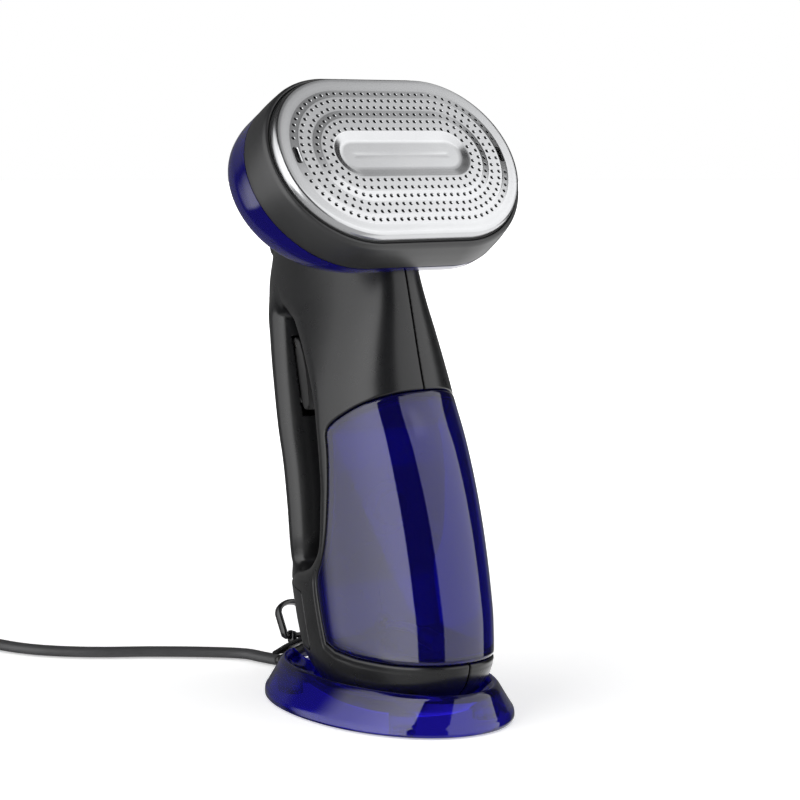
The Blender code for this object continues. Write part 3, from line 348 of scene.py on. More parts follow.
def field_mesh(f, lo, hi, h, relax=2):
    """Quad mesh of the surface f = 0 (negative inside), with its normals.
    Coarse cells away from the surface are skipped; every vertex is then moved
    onto the surface itself, so the mesh is as smooth as the field."""
    lo, hi = np.array(lo, float), np.array(hi, float)
    C = 4
    n = (np.ceil((hi - lo) / (h * C)).astype(int) + 1) * C + 1
    nc = (n - 1) // C + 1
    g = np.stack(np.meshgrid(*[lo[i] + np.arange(nc[i]) * h * C for i in range(3)], indexing="ij"), -1).reshape(-1, 3)
    coarse = sample(f, g).reshape(nc)
    near = np.abs(coarse) < h * C * 2.1
    cellnear = np.zeros(nc - 1, bool)
    for a in (0, 1):
        for b in (0, 1):
            for c in (0, 1):
                cellnear |= near[a:nc[0] - 1 + a, b:nc[1] - 1 + b, c:nc[2] - 1 + c]
    val = np.repeat(np.repeat(np.repeat(np.sign(coarse) * 9, C, 0), C, 1), C, 2)[:n[0], :n[1], :n[2]].astype(np.float32)
    fine = np.zeros(n, bool)
    up = np.repeat(np.repeat(np.repeat(cellnear, C, 0), C, 1), C, 2)
    for a in (0, 1):
        for b in (0, 1):
            for c in (0, 1):
                fine[a:a + up.shape[0], b:b + up.shape[1], c:c + up.shape[2]] |= up
    ids = np.argwhere(fine)
    val[fine] = sample(f, lo + ids * h).astype(np.float32)
    s = val < 0
    cnt = np.zeros(n - 1, np.uint8)
    for a in (0, 1):
        for b in (0, 1):
            for c in (0, 1):
                cnt += s[a:n[0] - 1 + a, b:n[1] - 1 + b, c:n[2] - 1 + c]
    act = (cnt > 0) & (cnt < 8)
    cells = np.argwhere(act)
    index = np.full(n - 1, -1, np.int64)
    index[act] = np.arange(len(cells))
    acc, num = np.zeros((len(cells), 3)), np.zeros(len(cells))
    corners = [(a, b, c) for a in (0, 1) for b in (0, 1) for c in (0, 1)]
    vals = {k: val[cells[:, 0] + k[0], cells[:, 1] + k[1], cells[:, 2] + k[2]].astype(float) for k in corners}
    for k in corners:
        for ax in range(3):
            if k[ax] == 0:
                k2 = tuple(1 if i == ax else k[i] for i in range(3))
                va, vb = vals[k], vals[k2]
                cross = (va < 0) != (vb < 0)
                t = np.where(cross, va / np.where(cross, va - vb, 1), 0)
                pt = np.array(k, float)[None] + t[:, None] * (np.array(k2) - np.array(k))[None]
                acc += np.where(cross[:, None], pt, 0)
                num += cross
    verts = lo + h * (cells + acc / num[:, None])
    quads = []
    for ax in range(3):
        a, b = [i for i in range(3) if i != ax]
        sl0, sl1 = [slice(None)] * 3, [slice(None)] * 3
        sl0[ax], sl1[ax] = slice(0, n[ax] - 1), slice(1, n[ax])
        s0, s1 = s[tuple(sl0)], s[tuple(sl1)]
        e = np.argwhere(s0 != s1)
        ok = (e[:, a] > 0) & (e[:, b] > 0) & (e[:, a] < n[a] - 1) & (e[:, b] < n[b] - 1)
        e = e[ok]
        inward = s0[e[:, 0], e[:, 1], e[:, 2]]
        q = []
        for da, db in ((1, 1), (0, 1), (0, 0), (1, 0)):
            c = e.copy()
            c[:, a] -= da
            c[:, b] -= db
            q.append(index[c[:, 0], c[:, 1], c[:, 2]])
        q = np.stack(q, 1)
        flip = inward if ax != 1 else ~inward
        q = np.where(flip[:, None], q, q[:, ::-1])
        quads.append(q)
    quads = np.concatenate(quads)
    home = verts.copy()
    edges = np.concatenate([quads[:, [i, (i + 1) % 4]] for i in range(4)])
    edges = np.concatenate((edges, edges[:, ::-1]))
    deg = np.bincount(edges[:, 0], minlength=len(verts)).astype(float)
    for it in range(relax + 1):
        if it:
            mean = np.stack([np.bincount(edges[:, 0], verts[edges[:, 1], i], len(verts)) for i in range(3)], 1) / deg[:, None]
            verts = verts + 0.6 * (mean - verts)
        for _ in range(2 if it == relax else 1):
            v = sample(f, verts)
            gr = slope(f, verts, 0.05, v)
            step = (v / np.maximum((gr * gr).sum(1), 0.05))[:, None] * gr
            ln = np.sqrt((step * step).sum(1))
            step *= np.minimum(1, 0.5 * h / np.maximum(ln, 1e-9))[:, None]
            verts = verts - step
            off = np.clip(verts - home, -0.9 * h, 0.9 * h)
            verts = home + off
    gr = slope(f, verts, 0.12)
    nrm = gr / np.maximum(np.sqrt((gr * gr).sum(1)), 1e-9)[:, None]
    return verts, quads, nrm


def quad_object(name, verts, quads, nrm=None):
    me = bpy.data.meshes.new(name)
    me.vertices.add(len(verts))
    me.vertices.foreach_set("co", (np.asarray(verts) * MM).astype(np.float32).ravel())
    me.loops.add(quads.size)
    me.loops.foreach_set("vertex_index", quads.astype(np.int32).ravel())
    me.polygons.add(len(quads))
    me.polygons.foreach_set("loop_start", np.arange(0, quads.size, quads.shape[1], dtype=np.int32))
    me.update(calc_edges=True)
    me.validate()
    me.shade_smooth()
    if nrm is not None:
        me.normals_split_custom_set_from_vertices(nrm.tolist())
    ob = bpy.data.objects.new(name, me)
    bpy.context.scene.collection.objects.link(ob)
    return ob


# ------------------------------------------------------------ body fields
def dome_near(p):
    return part_of(p, p[:, 2] > 222, dome_d, 30.0)


def body_with_walls(p):
    """Body less the hand opening and the tank's bay: their walls have plastic behind them."""
    y, z = p[:, 1], p[:, 2]
    d = body_d(p)
    bay = part_of(p, y < 26, bay_d, 30.0)
    line = part_of(p, (y < 20) & (z > 24) & (z < 84), lambda q: 0.4 * np.exp(-((bay_d(q) - 3.4) / 0.9) ** 2)
                   * np.clip((q[:, 2] - 29) / 5, 0, 1) * np.clip((74 - q[:, 2]) / 6, 0, 1), 0.0)
    line += 0.5 * np.exp(-(p[:, 0] / 0.55) ** 2)
    d = d + line
    up = (z > 215) & (y > 70)
    d = smin(d, part_of(p, up, lambda q: boss_d(q, POWER_P, POWER_AX, 8.2, -0.6), 30.0), 1.6)
    d = smin(d, part_of(p, up, lambda q: boss_d(q, LAMP_P, LAMP_AX, 4.8, 0.0), 30.0), 1.6)
    edge = np.minimum(SLOT_T(z)[0], 34.0)
    front = 2.4 + 4.6 * ease(z, 140, 195) + 3.0 * (1 - ease(z, 66, 84))
    roll = front + (9.0 - front) * ease(y, edge + 9, edge + 24)
    h = smax(d, -part_of(p, (y > -7) & (z > 50) & (z < 218), slot_d, 30.0), roll)
    return smax(h, -bay, 1.3)


POWER_P, POWER_AX = np.array((0, 98.6, 236.0)), np.array((0, 0.94, 0.342)) / math.hypot(0.94, 0.342)
LAMP_P, LAMP_AX = np.array((0, 89.6, 250.5)), np.array((0, 0.78, 0.626)) / math.hypot(0.78, 0.626)
RELEASE_P = np.array((0, 28.8, 144.0))
YAX = np.array((0.0, 1.0, 0.0))


def cut_small(p, d):
    """Openings through the wall."""
    x, y, z = p[:, 0], p[:, 1], p[:, 2]
    d = smax(d, -part_of(p, (y > 8) & (z < 78), cover_d, 30.0), 0.9)
    d = np.maximum(d, -part_of(p, z < 34, lambda q: boot_d(q), 30.0))
    d = np.maximum(d, -part_of(p, (z > 30) & (z < 56) & (y < 24), lambda q: cyl_d(q, SPOUT, TANK_AXIS, 5.6, -12, 12), 30.0))
    d = smax(d, -part_of(p, (z > 82) & (z < 125) & (y < 24), lambda q: cyl_d(q, FILLER, TANK_AXIS, 14.2, -6, 9), 30.0), 1.0)
    d = smax(d, -part_of(p, (z > 138) & (z < 194) & (y > 48), lambda q: box_d(q, (-8.4, 55, 145.0), (8.4, 79.5, 187.2)), 30.0), 0.4)
    d = smax(d, -part_of(p, (z > 132) & (z < 156) & (y > 14) & (y < 44), lambda q: cyl_d(q, RELEASE_P, YAX, 6.4, -8, 8), 30.0), 0.8)
    top = (z > 220) & (y > 76)
    d = smax(d, -part_of(p, top, lambda q: cyl_d(q, POWER_P, POWER_AX, 6.9, -8, 8), 30.0), 0.8)
    d = smax(d, -part_of(p, top, lambda q: cyl_d(q, LAMP_P, LAMP_AX, 2.9, -8, 8), 30.0), 0.5)
    return smax(d, -1.0 - dome_near(p), 0.3)


def housing_left_f(p):
    solid = body_with_walls(p)
    return np.maximum(cut_small(p, solid), -(solid + WALL))


def cover_f(p):
    d = body_d(p)
    return smax(np.maximum(d, -(d + 2.4)), cover_d(p) + 0.3, 0.9)


def tank_solid(p):
    return smax(body_d(p), bay_d(p) + GAP, 2.2)


def tank_f(p):
    t = tank_solid(p)
    inner = smax(body_d(p) + TANK_WALL, bay_d(p) + GAP + TANK_WALL, 4.0)
    d = smax(t, -inner, 0.4)
    near = (p[:, 2] > 86) & (p[:, 2] < 121) & (p[:, 1] > -16)
    d = smax(d, -part_of(p, near, lambda q: cyl_d(q, FILLER, TANK_AXIS, 9.3, -8, 8), 30.0), 0.6)
    near = (p[:, 2] > 30) & (p[:, 2] < 54) & (p[:, 1] > -16)
    d = smin(d, part_of(p, near, lambda q: cyl_d(q, SPOUT, TANK_AXIS, 4.2, -1.6, 9.5), 30.0), 0.8)
    return np.maximum(d, -part_of(p, near, lambda q: cyl_d(q, SPOUT, TANK_AXIS, 2.9, -14, 14), 30.0))


# ------------------------------------------------------------ mesh helpers
def link(name, me):
    ob = bpy.data.objects.new(name, me)
    bpy.context.scene.collection.objects.link(ob)
    return ob


def smooth(ob, angle=35.0):
    ob.data.shade_smooth()
    ob.data.set_sharp_from_angle(angle=math.radians(angle))
    return ob


def outward(bm):
    bmesh.ops.recalc_face_normals(bm, faces=bm.faces)
    if bm.calc_volume(signed=True) < 0:
        bmesh.ops.reverse_faces(bm, faces=bm.faces)


def rings_object(name, rings, closed=False, caps=True, angle=35.0):
    """Rings of points (mm, same count each) joined by quads."""
    bm = bmesh.new()
    vs = [[bm.verts.new([c * MM for c in p]) for p in r] for r in rings]
    n = len(vs[0])
    for a, b in list(zip(vs, vs[1:])) + ([(vs[-1], vs[0])] if closed else []):
        for k in range(n):
            bm.faces.new((a[k], a[(k + 1) % n], b[(k + 1) % n], b[k]))
    if caps and not closed:
        for ring in (vs[0], vs[-1]):
            mid = bm.verts.new(sum((v.co for v in ring), Vector()) / n)
            for k in range(n):
                bm.faces.new((ring[k], ring[(k + 1) % n], mid))
    outward(bm)
    me = bpy.data.meshes.new(name)
    bm.to_mesh(me)
    bm.free()
    return smooth(link(name, me), angle)


def fillet(pts, r, m=4, closed=False, dims=None):
    """Corners of a list of points rounded; r is one radius or one per point."""
    pts = [np.array(p, float) for p in pts]
    n = len(pts)
    rs = [r] * n if np.isscalar(r) else list(r)
    d = dims if dims is not None else list(range(len(pts[0])))
    out = []
    for i, p in enumerate(pts):
        if (not closed and i in (0, n - 1)) or rs[i] <= 0:
            out.append(p)
            continue
        a, b = pts[i - 1], pts[(i + 1) % n]
        la, lb = np.linalg.norm((a - p)[d]), np.linalg.norm((b - p)[d])
        p1 = p + (a - p) * min(rs[i] / max(la, 1e-6), 0.49)
        p2 = p + (b - p) * min(rs[i] / max(lb, 1e-6), 0.49)
        for k in range(m + 1):
            t = k / m
            out.append(p1 * (1 - t) ** 2 + p * 2 * t * (1 - t) + p2 * t * t)
    return out


def spline(pts, m):
    """Smooth curve through points of any dimension, m steps a span."""
    pts = [np.array(p, float) for p in pts]
    out = []
    for i in range(len(pts) - 1):
        p0, p1 = pts[max(i - 1, 0)], pts[i]
        p2, p3 = pts[i + 1], pts[min(i + 2, len(pts) - 1)]
        for k in range(m):
            t = k / m
            out.append(0.5 * (2 * p1 + (p2 - p0) * t + (2 * p0 - 5 * p1 + 4 * p2 - p3) * t**2
                              + (3 * p1 - p0 - 3 * p2 + p3) * t**3))
    out.append(pts[-1])
    return out


CROWN = 1.1                    # the pressed plate bulges by this much


def crowned(u, v, h):
    return h + CROWN * (1 - (v / 47.0) ** 2 * 0.75 - (u / 73.0) ** 2 * 0.25) - CROWN * 0.25


def head_ring(ow, oh, shift, h, n=288, crown=False):
    """Ring round the head, evenly spaced along its straights and its ends."""
    r = PLATE_H + oh
    flat = max(PLATE_W + ow - r, 0.01)
    total = 4 * flat + 2 * math.pi * r
    pts = []
    for k in range(n):
        s = (k + 0.5) / n * total
        if s < flat:
            u, v = s, r
        elif s < flat + math.pi * r:
            q = (s - flat) / r
            u, v = flat + r * math.sin(q), r * math.cos(q)
        elif s < 3 * flat + math.pi * r:
            u, v = flat - (s - flat - math.pi * r), -r
        elif s < 3 * flat + 2 * math.pi * r:
            q = (s - 3 * flat - math.pi * r) / r
            u, v = -flat - r * math.sin(q), -r * math.cos(q)
        else:
            u, v = -flat + (s - 3 * flat - 2 * math.pi * r), r
        hh = crowned(u, v + shift, h) if crown else h
        pts.append(HEAD_C + np.array((u, 0, 0)) + HEAD_UP * (v + shift) + HEAD_N * hh)
    return pts


def axis_frame(p, axis, up=(0, 0, 1)):
    z = Vector(axis).normalized()
    x = Vector(up).cross(z)
    if x.length < 1e-4:
        x = Vector((1, 0, 0)).cross(z)
    x.normalize()
    y = z.cross(x)
    return np.array(p, float), np.array(x), np.array(y), np.array(z)


def turned(name, profile, p, axis, n=64, angle=35.0, wave=None):
    """Turned piece: profile of (radius, along); ends at radius 0 close it."""
    c, x, y, z = axis_frame(p, axis)
    solid = profile[0][0] == 0
    body = profile[1:-1] if solid else profile
    rings = []
    for r, h in body:
        ring = []
        for k in range(n):
            q = 2 * math.pi * k / n
            rr = r * (1 if wave is None else wave(q, r, h))
            ring.append(c + x * rr * math.cos(q) + y * rr * math.sin(q) + z * h)
        rings.append(ring)
    return rings_object(name, rings, closed=not solid, angle=angle)


def swept(name, path, half, section, m=4, closed=False, up=(0, 0, 1), angle=40.0):
    """Section (a function of its size giving (side, up) points) along a path."""
    pts = spline(path, m) if not closed else [np.array(q, float) for q in path]
    n = len(pts)
    upv, rings = Vector(up), []
    for i, q in enumerate(pts):
        a, b = (pts[i - 1], pts[(i + 1) % n]) if closed else (pts[max(i - 1, 0)], pts[min(i + 1, n - 1)])
        d = Vector(b - a).normalized()
        side = d.cross(upv).normalized()
        upv2 = side.cross(d).normalized()
        if not closed:
            upv = upv2
        t = i / (n - 1)
        w, h = half[0][0] * (1 - t) + half[-1][0] * t, half[0][1] * (1 - t) + half[-1][1] * t
        rings.append([q + np.array(side) * a2 + np.array(upv2) * b2 for a2, b2 in section(w, h, t)])
    return rings_object(name, rings, closed=closed, angle=angle)


def superellipse(n, e):
    def section(w, h, t):
        out = []
        for k in range(n):
            q = 2 * math.pi * (k + 0.5) / n
            c, s = math.cos(q), math.sin(q)
            out.append((math.copysign(abs(c) ** (2 / e), c) * w, math.copysign(abs(s) ** (2 / e), s) * h))
        return out
    return section


def rounded_box(name, lo, hi, r, seg=3, frame_=None):
    bm = bmesh.new()
    bmesh.ops.create_cube(bm, size=1.0)
    lo, hi = Vector(lo), Vector(hi)
    for v in bm.verts:
        v.co = Vector(((lo.x + hi.x) / 2 + v.co.x * (hi.x - lo.x), (lo.y + hi.y) / 2 + v.co.y * (hi.y - lo.y),
                       (lo.z + hi.z) / 2 + v.co.z * (hi.z - lo.z)))
    bmesh.ops.bevel(bm, geom=bm.edges[:], offset=r, segments=seg, profile=0.5, affect="EDGES")
    if frame_ is not None:
        c, x, y, z = frame_
        for v in bm.verts:
            v.co = Vector(c + x * v.co.x + y * v.co.y + z * v.co.z)
    for v in bm.verts:
        v.co *= MM
    outward(bm)
    me = bpy.data.meshes.new(name)
    bm.to_mesh(me)
    bm.free()
    return smooth(link(name, me), 40)


def prism_piece(name, outline, x0, x1, r, seg=3):
    bm = bmesh.new()
    a = [bm.verts.new((x0, y, z)) for y, z in outline]
    b = [bm.verts.new((x1, y, z)) for y, z in outline]
    n = len(a)
    caps = [bm.faces.new(a), bm.faces.new(b[::-1])]
    for k in range(n):
        bm.faces.new((a[k], b[k], b[(k + 1) % n], a[(k + 1) % n]))
    rim = [e for f in caps for e in f.edges]
    bmesh.ops.bevel(bm, geom=rim, offset=r, segments=seg, profile=0.5, affect="EDGES")
    for v in bm.verts:
        v.co *= MM
    outward(bm)
    me = bpy.data.meshes.new(name)
    bm.to_mesh(me)
    bm.free()
    return smooth(link(name, me), 40)


def boolean(ob, tool, how="DIFFERENCE", keep=False, angle=30.0):
    """Applies a Boolean in place and takes the tool away."""
    m = ob.modifiers.new("b", "BOOLEAN")
    m.operation, m.object, m.solver = how, tool, "MANIFOLD"
    dg = bpy.context.evaluated_depsgraph_get()
    me = bpy.data.meshes.new_from_object(ob.evaluated_get(dg))
    ob.modifiers.clear()
    old = ob.data
    if len(me.vertices):
        ob.data = me
        me.name = old.name
    if not keep:
        bpy.data.objects.remove(tool)
    return smooth(ob, angle)


def joined(name, objs):
    bm = bmesh.new()
    for o in objs:
        bm.from_mesh(o.data)
        bpy.data.objects.remove(o)
    me = bpy.data.meshes.new(name)
    bm.to_mesh(me)
    bm.free()
    return link(name, me)


# ------------------------------------------------------------ materials
def new_material(name):
    m = bpy.data.materials.new(name)
    m.use_nodes = True
    nt = m.node_tree
    p = nt.nodes["Principled BSDF"]
    return m, nt, p


def coords(nt, scale=(1, 1, 1)):
    tc = nt.nodes.new("ShaderNodeTexCoord")
    mp = nt.nodes.new("ShaderNodeMapping")
    mp.inputs["Scale"].default_value = scale
    nt.links.new(tc.outputs["Object"], mp.inputs["Vector"])
    return mp.outputs["Vector"]


def noise(nt, vec, scale, detail=3.0, rough=0.55):
    n = nt.nodes.new("ShaderNodeTexNoise")
    n.inputs["Scale"].default_value = scale
    n.inputs["Detail"].default_value = detail
    n.inputs["Roughness"].default_value = rough
    nt.links.new(vec, n.inputs["Vector"])
    return n.outputs["Fac"]


def ramp(nt, fac, stops):
    r = nt.nodes.new("ShaderNodeValToRGB")
    el = r.color_ramp.elements
    while len(el) < len(stops):
        el.new(0.5)
    for e, (pos, col) in zip(el, stops):
        e.position = pos
        e.color = (*col, 1.0) if len(col) == 3 else col
    nt.links.new(fac, r.inputs["Fac"])
    return r.outputs["Color"]


def remap(nt, fac, lo, hi):
    m = nt.nodes.new("ShaderNodeMapRange")
    m.inputs["To Min"].default_value = lo
    m.inputs["To Max"].default_value = hi
    nt.links.new(fac, m.inputs["Value"])
    return m.outputs["Result"]


def bump(nt, p, height, strength, distance, before=None):
    b = nt.nodes.new("ShaderNodeBump")
    b.inputs["Strength"].default_value = strength
    b.inputs["Distance"].default_value = distance
    nt.links.new(height, b.inputs["Height"])
    if before is not None:
        nt.links.new(before, b.inputs["Normal"])
    nt.links.new(b.outputs["Normal"], p.inputs["Normal"])
    return b.outputs["Normal"]


def plastic(name, rgb, rough, grain=0.0, vary=0.06, coat=0.0, spec=0.5, dust=0.0):
    """Moulded plastic: slight flow mottling, fine spark-eroded grain, uneven gloss."""
    m, nt, p = new_material(name)
    v = coords(nt)
    big = noise(nt, v, 28.0, 4.0)
    lo = tuple(c * (1 - vary) for c in rgb)
    hi = tuple(c * (1 + vary) for c in rgb)
    nt.links.new(ramp(nt, big, [(0.3, lo), (0.7, hi)]), p.inputs["Base Color"])
    nt.links.new(remap(nt, noise(nt, v, 160.0, 4.0), rough * 0.9, min(rough * 1.12, 1.0)), p.inputs["Roughness"])
    p.inputs["Specular IOR Level"].default_value = spec
    p.inputs["Coat Weight"].default_value = coat
    p.inputs["Coat Roughness"].default_value = 0.06
    if grain:
        bump(nt, p, noise(nt, v, 2600.0, 2.0), grain, 0.00004)
    return m


def clear_blue(name, rgb, depth, trans, rough=0.025):
    """Tinted clear plastic: colour deepens where more of it lies in the way."""
    m, nt, p = new_material(name)
    v = coords(nt)
    lw = nt.nodes.new("ShaderNodeLayerWeight")
    lw.inputs["Blend"].default_value = 0.45
    col = ramp(nt, lw.outputs["Facing"], [(0.0, rgb), (0.75, depth), (1.0, tuple(c * 0.55 for c in depth))])
    nt.links.new(col, p.inputs["Base Color"])
    nt.links.new(remap(nt, noise(nt, v, 90.0, 3.0), rough * 0.7, rough * 1.5), p.inputs["Roughness"])
    p.inputs["Transmission Weight"].default_value = trans
    p.inputs["IOR"].default_value = 1.49
    p.inputs["Coat Weight"].default_value = 0.35
    p.inputs["Coat Roughness"].default_value = 0.02
    bump(nt, p, noise(nt, v, 26.0, 1.0), 0.02, 0.0006)
    return m


def steel(name, rgb=(0.55, 0.555, 0.565), rough=0.22):
    """Satin polished plate: fine cross-rolled lines, soft cloudy sheen."""
    m, nt, p = new_material(name)
    p.inputs["Metallic"].default_value = 1.0
    fine = noise(nt, coords(nt, (1, 40, 40)), 190.0, 3.0)
    cloud = noise(nt, coords(nt), 45.0, 3.0)
    nt.links.new(ramp(nt, cloud, [(0.3, tuple(c * 0.95 for c in rgb)), (0.7, rgb)]), p.inputs["Base Color"])
    nt.links.new(remap(nt, fine, rough * 0.8, rough * 1.3), p.inputs["Roughness"])
    bump(nt, p, fine, 0.06, 0.00005)
    return m


def metal(name, rgb, rough, lumps=0.15, scale=700.0):
    m, nt, p = new_material(name)
    p.inputs["Metallic"].default_value = 1.0
    v = coords(nt)
    f = noise(nt, v, scale, 4.0)
    nt.links.new(ramp(nt, noise(nt, v, 60.0), [(0.3, tuple(c * 0.86 for c in rgb)), (0.7, rgb)]), p.inputs["Base Color"])
    nt.links.new(remap(nt, f, rough * 0.8, rough * 1.25), p.inputs["Roughness"])
    bump(nt, p, f, lumps, 0.0001)
    return m


def soft(name, rgb, rough, grain, scale=1800.0):
    """Rubber and silicone: dull, finely pored."""
    m, nt, p = new_material(name)
    v = coords(nt)
    nt.links.new(ramp(nt, noise(nt, v, 40.0, 4.0), [(0.3, tuple(c * 0.85 for c in rgb)), (0.7, tuple(c * 1.1 for c in rgb))]),
                 p.inputs["Base Color"])
    nt.links.new(remap(nt, noise(nt, v, 300.0), rough * 0.92, min(1.0, rough * 1.08)), p.inputs["Roughness"])
    bump(nt, p, noise(nt, v, scale, 3.0), grain, 0.00006)
    return m


MAT = {
    "housing_grey": plastic("housing_grey", (0.0065, 0.0067, 0.0075), 0.28, 0.10),
    "bezel_grey": plastic("bezel_grey", (0.0145, 0.0147, 0.0155), 0.38, 0.12, spec=0.65),
    "clear_blue": clear_blue("clear_blue", (0.022, 0.012, 0.66), (0.004, 0.002, 0.34), 0.95),
    "gloss_blue": plastic("gloss_blue", (0.003, 0.0017, 0.078), 0.05, 0.0, 0.10, coat=0.6),
    "steam_plate": steel("steam_plate"),
    "cast_metal": metal("cast_metal", (0.55, 0.55, 0.56), 0.5, 0.5, 500.0),
    "gloss_black": plastic("gloss_black", (0.007, 0.007, 0.008), 0.22, 0.0, 0.1, coat=0.2),
    "rubber": soft("rubber", (0.016, 0.016, 0.017), 0.62, 0.25),
    "silicone": soft("silicone", (0.50, 0.48, 0.45), 0.5, 0.12),
    "cord": soft("cord", (0.042, 0.042, 0.044), 0.5, 0.15),
    "plated_steel": metal("plated_steel", (0.62, 0.62, 0.60), 0.28, 0.1),
    "board": plastic("board", (0.02, 0.10, 0.045), 0.45, 0.1, 0.2),
    "white_plastic": plastic("white_plastic", (0.72, 0.71, 0.67), 0.4, 0.08),
    "brass": metal("brass", (0.70, 0.52, 0.24), 0.3, 0.1),
    "lens": plastic("lens", (0.62, 0.22, 0.03), 0.12, 0.0, 0.08, coat=0.8),
}
def seam_shadow_plastic(name, rgb, rough, grain, half):
    """The housing plastic with painted shadow: a near-black band where its two halves meet stands for the shade in the
    gap between them.
    """
    m = plastic(name, rgb, rough, grain)
    nt, p_ = m.node_tree, m.node_tree.nodes["Principled BSDF"]
    sep = nt.nodes.new("ShaderNodeSeparateXYZ")
    nt.links.new(coords(nt), sep.inputs["Vector"])
    off = nt.nodes.new("ShaderNodeMath")
    off.operation = "ABSOLUTE"
    nt.links.new(sep.outputs["X"], off.inputs[0])
    gap = nt.nodes.new("ShaderNodeMapRange")
    gap.inputs["From Min"].default_value, gap.inputs["From Max"].default_value = half * 0.6, half * 1.3
    nt.links.new(off.outputs["Value"], gap.inputs["Value"])
    # Painted shadow: near-black colour on the seam, in place of the shade inside the gap between the halves.
    gap_shadow = nt.nodes.new("ShaderNodeBsdfDiffuse")
    gap_shadow.inputs["Color"].default_value = (0.001, 0.001, 0.001, 1)
    mix = nt.nodes.new("ShaderNodeMixShader")
    nt.links.new(gap.outputs["Result"], mix.inputs["Fac"])
    nt.links.new(gap_shadow.outputs["BSDF"], mix.inputs[1])
    nt.links.new(p_.outputs["BSDF"], mix.inputs[2])
    nt.links.new(mix.outputs["Shader"], nt.nodes["Material Output"].inputs["Surface"])
    return m


NODE_SLOT = {r["node"]: r["material_slot"] for r in frame["record"]["subparts"]}
NODE_BODY = {n: b for b, ns in frame["record"]["behaviour"]["bodies"].items() for n in ns}


def dress(ob, slot):
    ob.data.materials.clear()
    ob.data.materials.append(MAT[slot])
    return ob


def stand_in(ob, *nodes):
    """ob takes the place, finish and body of these nodes."""
    dress(ob, NODE_SLOT[nodes[0]])
    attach(ob, NODE_BODY[nodes[0]])
    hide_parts(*nodes)
    return ob


for n_, o_ in NODES.items():
    dress(o_, NODE_SLOT[n_])

# ------------------------------------------------------------ housing
def halved(name, verts, quads, x_cut):
    """Keeps x < x_cut of a shell, with its cut rim filled flat."""
    ob = quad_object(name, verts, quads)
    bm = bmesh.new()
    bm.from_mesh(ob.data)
    bmesh.ops.bisect_plane(bm, geom=bm.verts[:] + bm.edges[:] + bm.faces[:], dist=1e-7, plane_co=(x_cut * MM, 0, 0),
                           plane_no=(1, 0, 0), clear_outer=True)
    rim = [e for e in bm.edges if e.is_boundary]
    bmesh.ops.triangle_fill(bm, use_beauty=True, use_dissolve=False, edges=rim, normal=(1, 0, 0))
    bmesh.ops.recalc_face_normals(bm, faces=bm.faces)
    bm.to_mesh(ob.data)
    bm.free()
    return ob


def field_normals(ob, f, mirror=False):
    """Shades a mesh with the field's own normals, save where it was cut."""
    me = ob.data
    co = np.empty(len(me.vertices) * 3, np.float32)
    me.vertices.foreach_get("co", co)
    co = co.reshape(-1, 3).astype(float) / MM
    if mirror:
        co = co * (-1, 1, 1)
    g = slope(f, co, 0.12)
    g /= np.maximum(np.sqrt((g * g).sum(1)), 1e-9)[:, None]
    if mirror:
        g = g * (-1, 1, 1)
    n = len(me.loops)
    lv = np.empty(n, np.int32)
    me.loops.foreach_get("vertex_index", lv)
    fn = np.empty(len(me.polygons) * 3, np.float32)
    me.polygons.foreach_get("normal", fn)
    tot = np.empty(len(me.polygons), np.int32)
    me.polygons.foreach_get("loop_total", tot)
    fl = np.repeat(fn.reshape(-1, 3), tot, axis=0)
    ln = g[lv]
    bad = (ln * fl).sum(1) < 0.72
    ln[bad] = fl[bad]
    me.shade_smooth()
    me.normals_split_custom_set(ln.tolist())


H = 0.85
v_, q_, _ = field_mesh(housing_left_f, (-41.5, -72, 2.5), (1.2, 108, 272), H)
left = halved("housing_left_skin", v_, q_, -0.15)
field_normals(left, housing_left_f)
stand_in(left, "housing_left")
right = halved("housing_right_skin", v_, q_, -0.15)
right.data.transform(Matrix.Scale(-1, 4, (1, 0, 0)))
right.data.flip_normals()
bores = [turned("bore", [(0, -0.1), (1.75, -0.1), (1.75, r_), (3.3, r_), (3.3, 60), (0, 60)], (0, y_, z_), (1, 0, 0), 40)
         for y_, z_, r_ in SCREWS]
boolean(right, joined("bores", bores), angle=45)
field_normals(right, housing_left_f, True)
stand_in(right, "housing_right")
# Both halves get the housing plastic with the painted seam shadow.
SEAM_SHADOW_GREY = seam_shadow_plastic("housing_grey_seam_shadow", (0.0065, 0.0067, 0.0075), 0.28, 0.10, 0.00042)
left.data.materials[0] = SEAM_SHADOW_GREY
right.data.materials[0] = SEAM_SHADOW_GREY

v_, q_, nrm_ = field_mesh(cover_f, (-41, 22, 24), (41, 82, 62), 0.8)
stand_in(quad_object("rear_cover_skin", v_, q_, nrm_), "rear_cover")

v_, q_, nrm_ = field_mesh(tank_f, (-41, -73, 28), (41, 16, 176), 0.8)
stand_in(quad_object("tank_skin", v_, q_, nrm_), "tank_shell")

# ------------------------------------------------------------ steam head
HN = 320
outer_prof = fillet([(6.25, 6.05, 0.2, -24.2)], 0) + [q for q in spline([(6.25, 6.05, 0.2, -24.35)] + DOME[1:], 6)]
inner_prof = spline([(3.7, 3.5, 0.2, -24.35), (4.3, 2.7, 1.2, -31.0), (3.9, 0.3, 3.0, -37.6), (1.4, -3.6, 4.7, -43.8),
                     (-4.6, -9.4, 6.2, -49.4), (-14.0, -17.4, 7.2, -54.0), (-27.0, -27.0, 8.0, -57.0)], 4)


def dense(prof, step):
    """More rings where two neighbours are far apart."""
    out = [np.array(prof[0], float)]
    for a, b in zip(prof, prof[1:]):
        a, b = np.array(a, float), np.array(b, float)
        m = max(1, int(math.ceil(np.abs(b - a).max() / step)))
        out += [a + (b - a) * k / m for k in range(1, m + 1)]
    return out


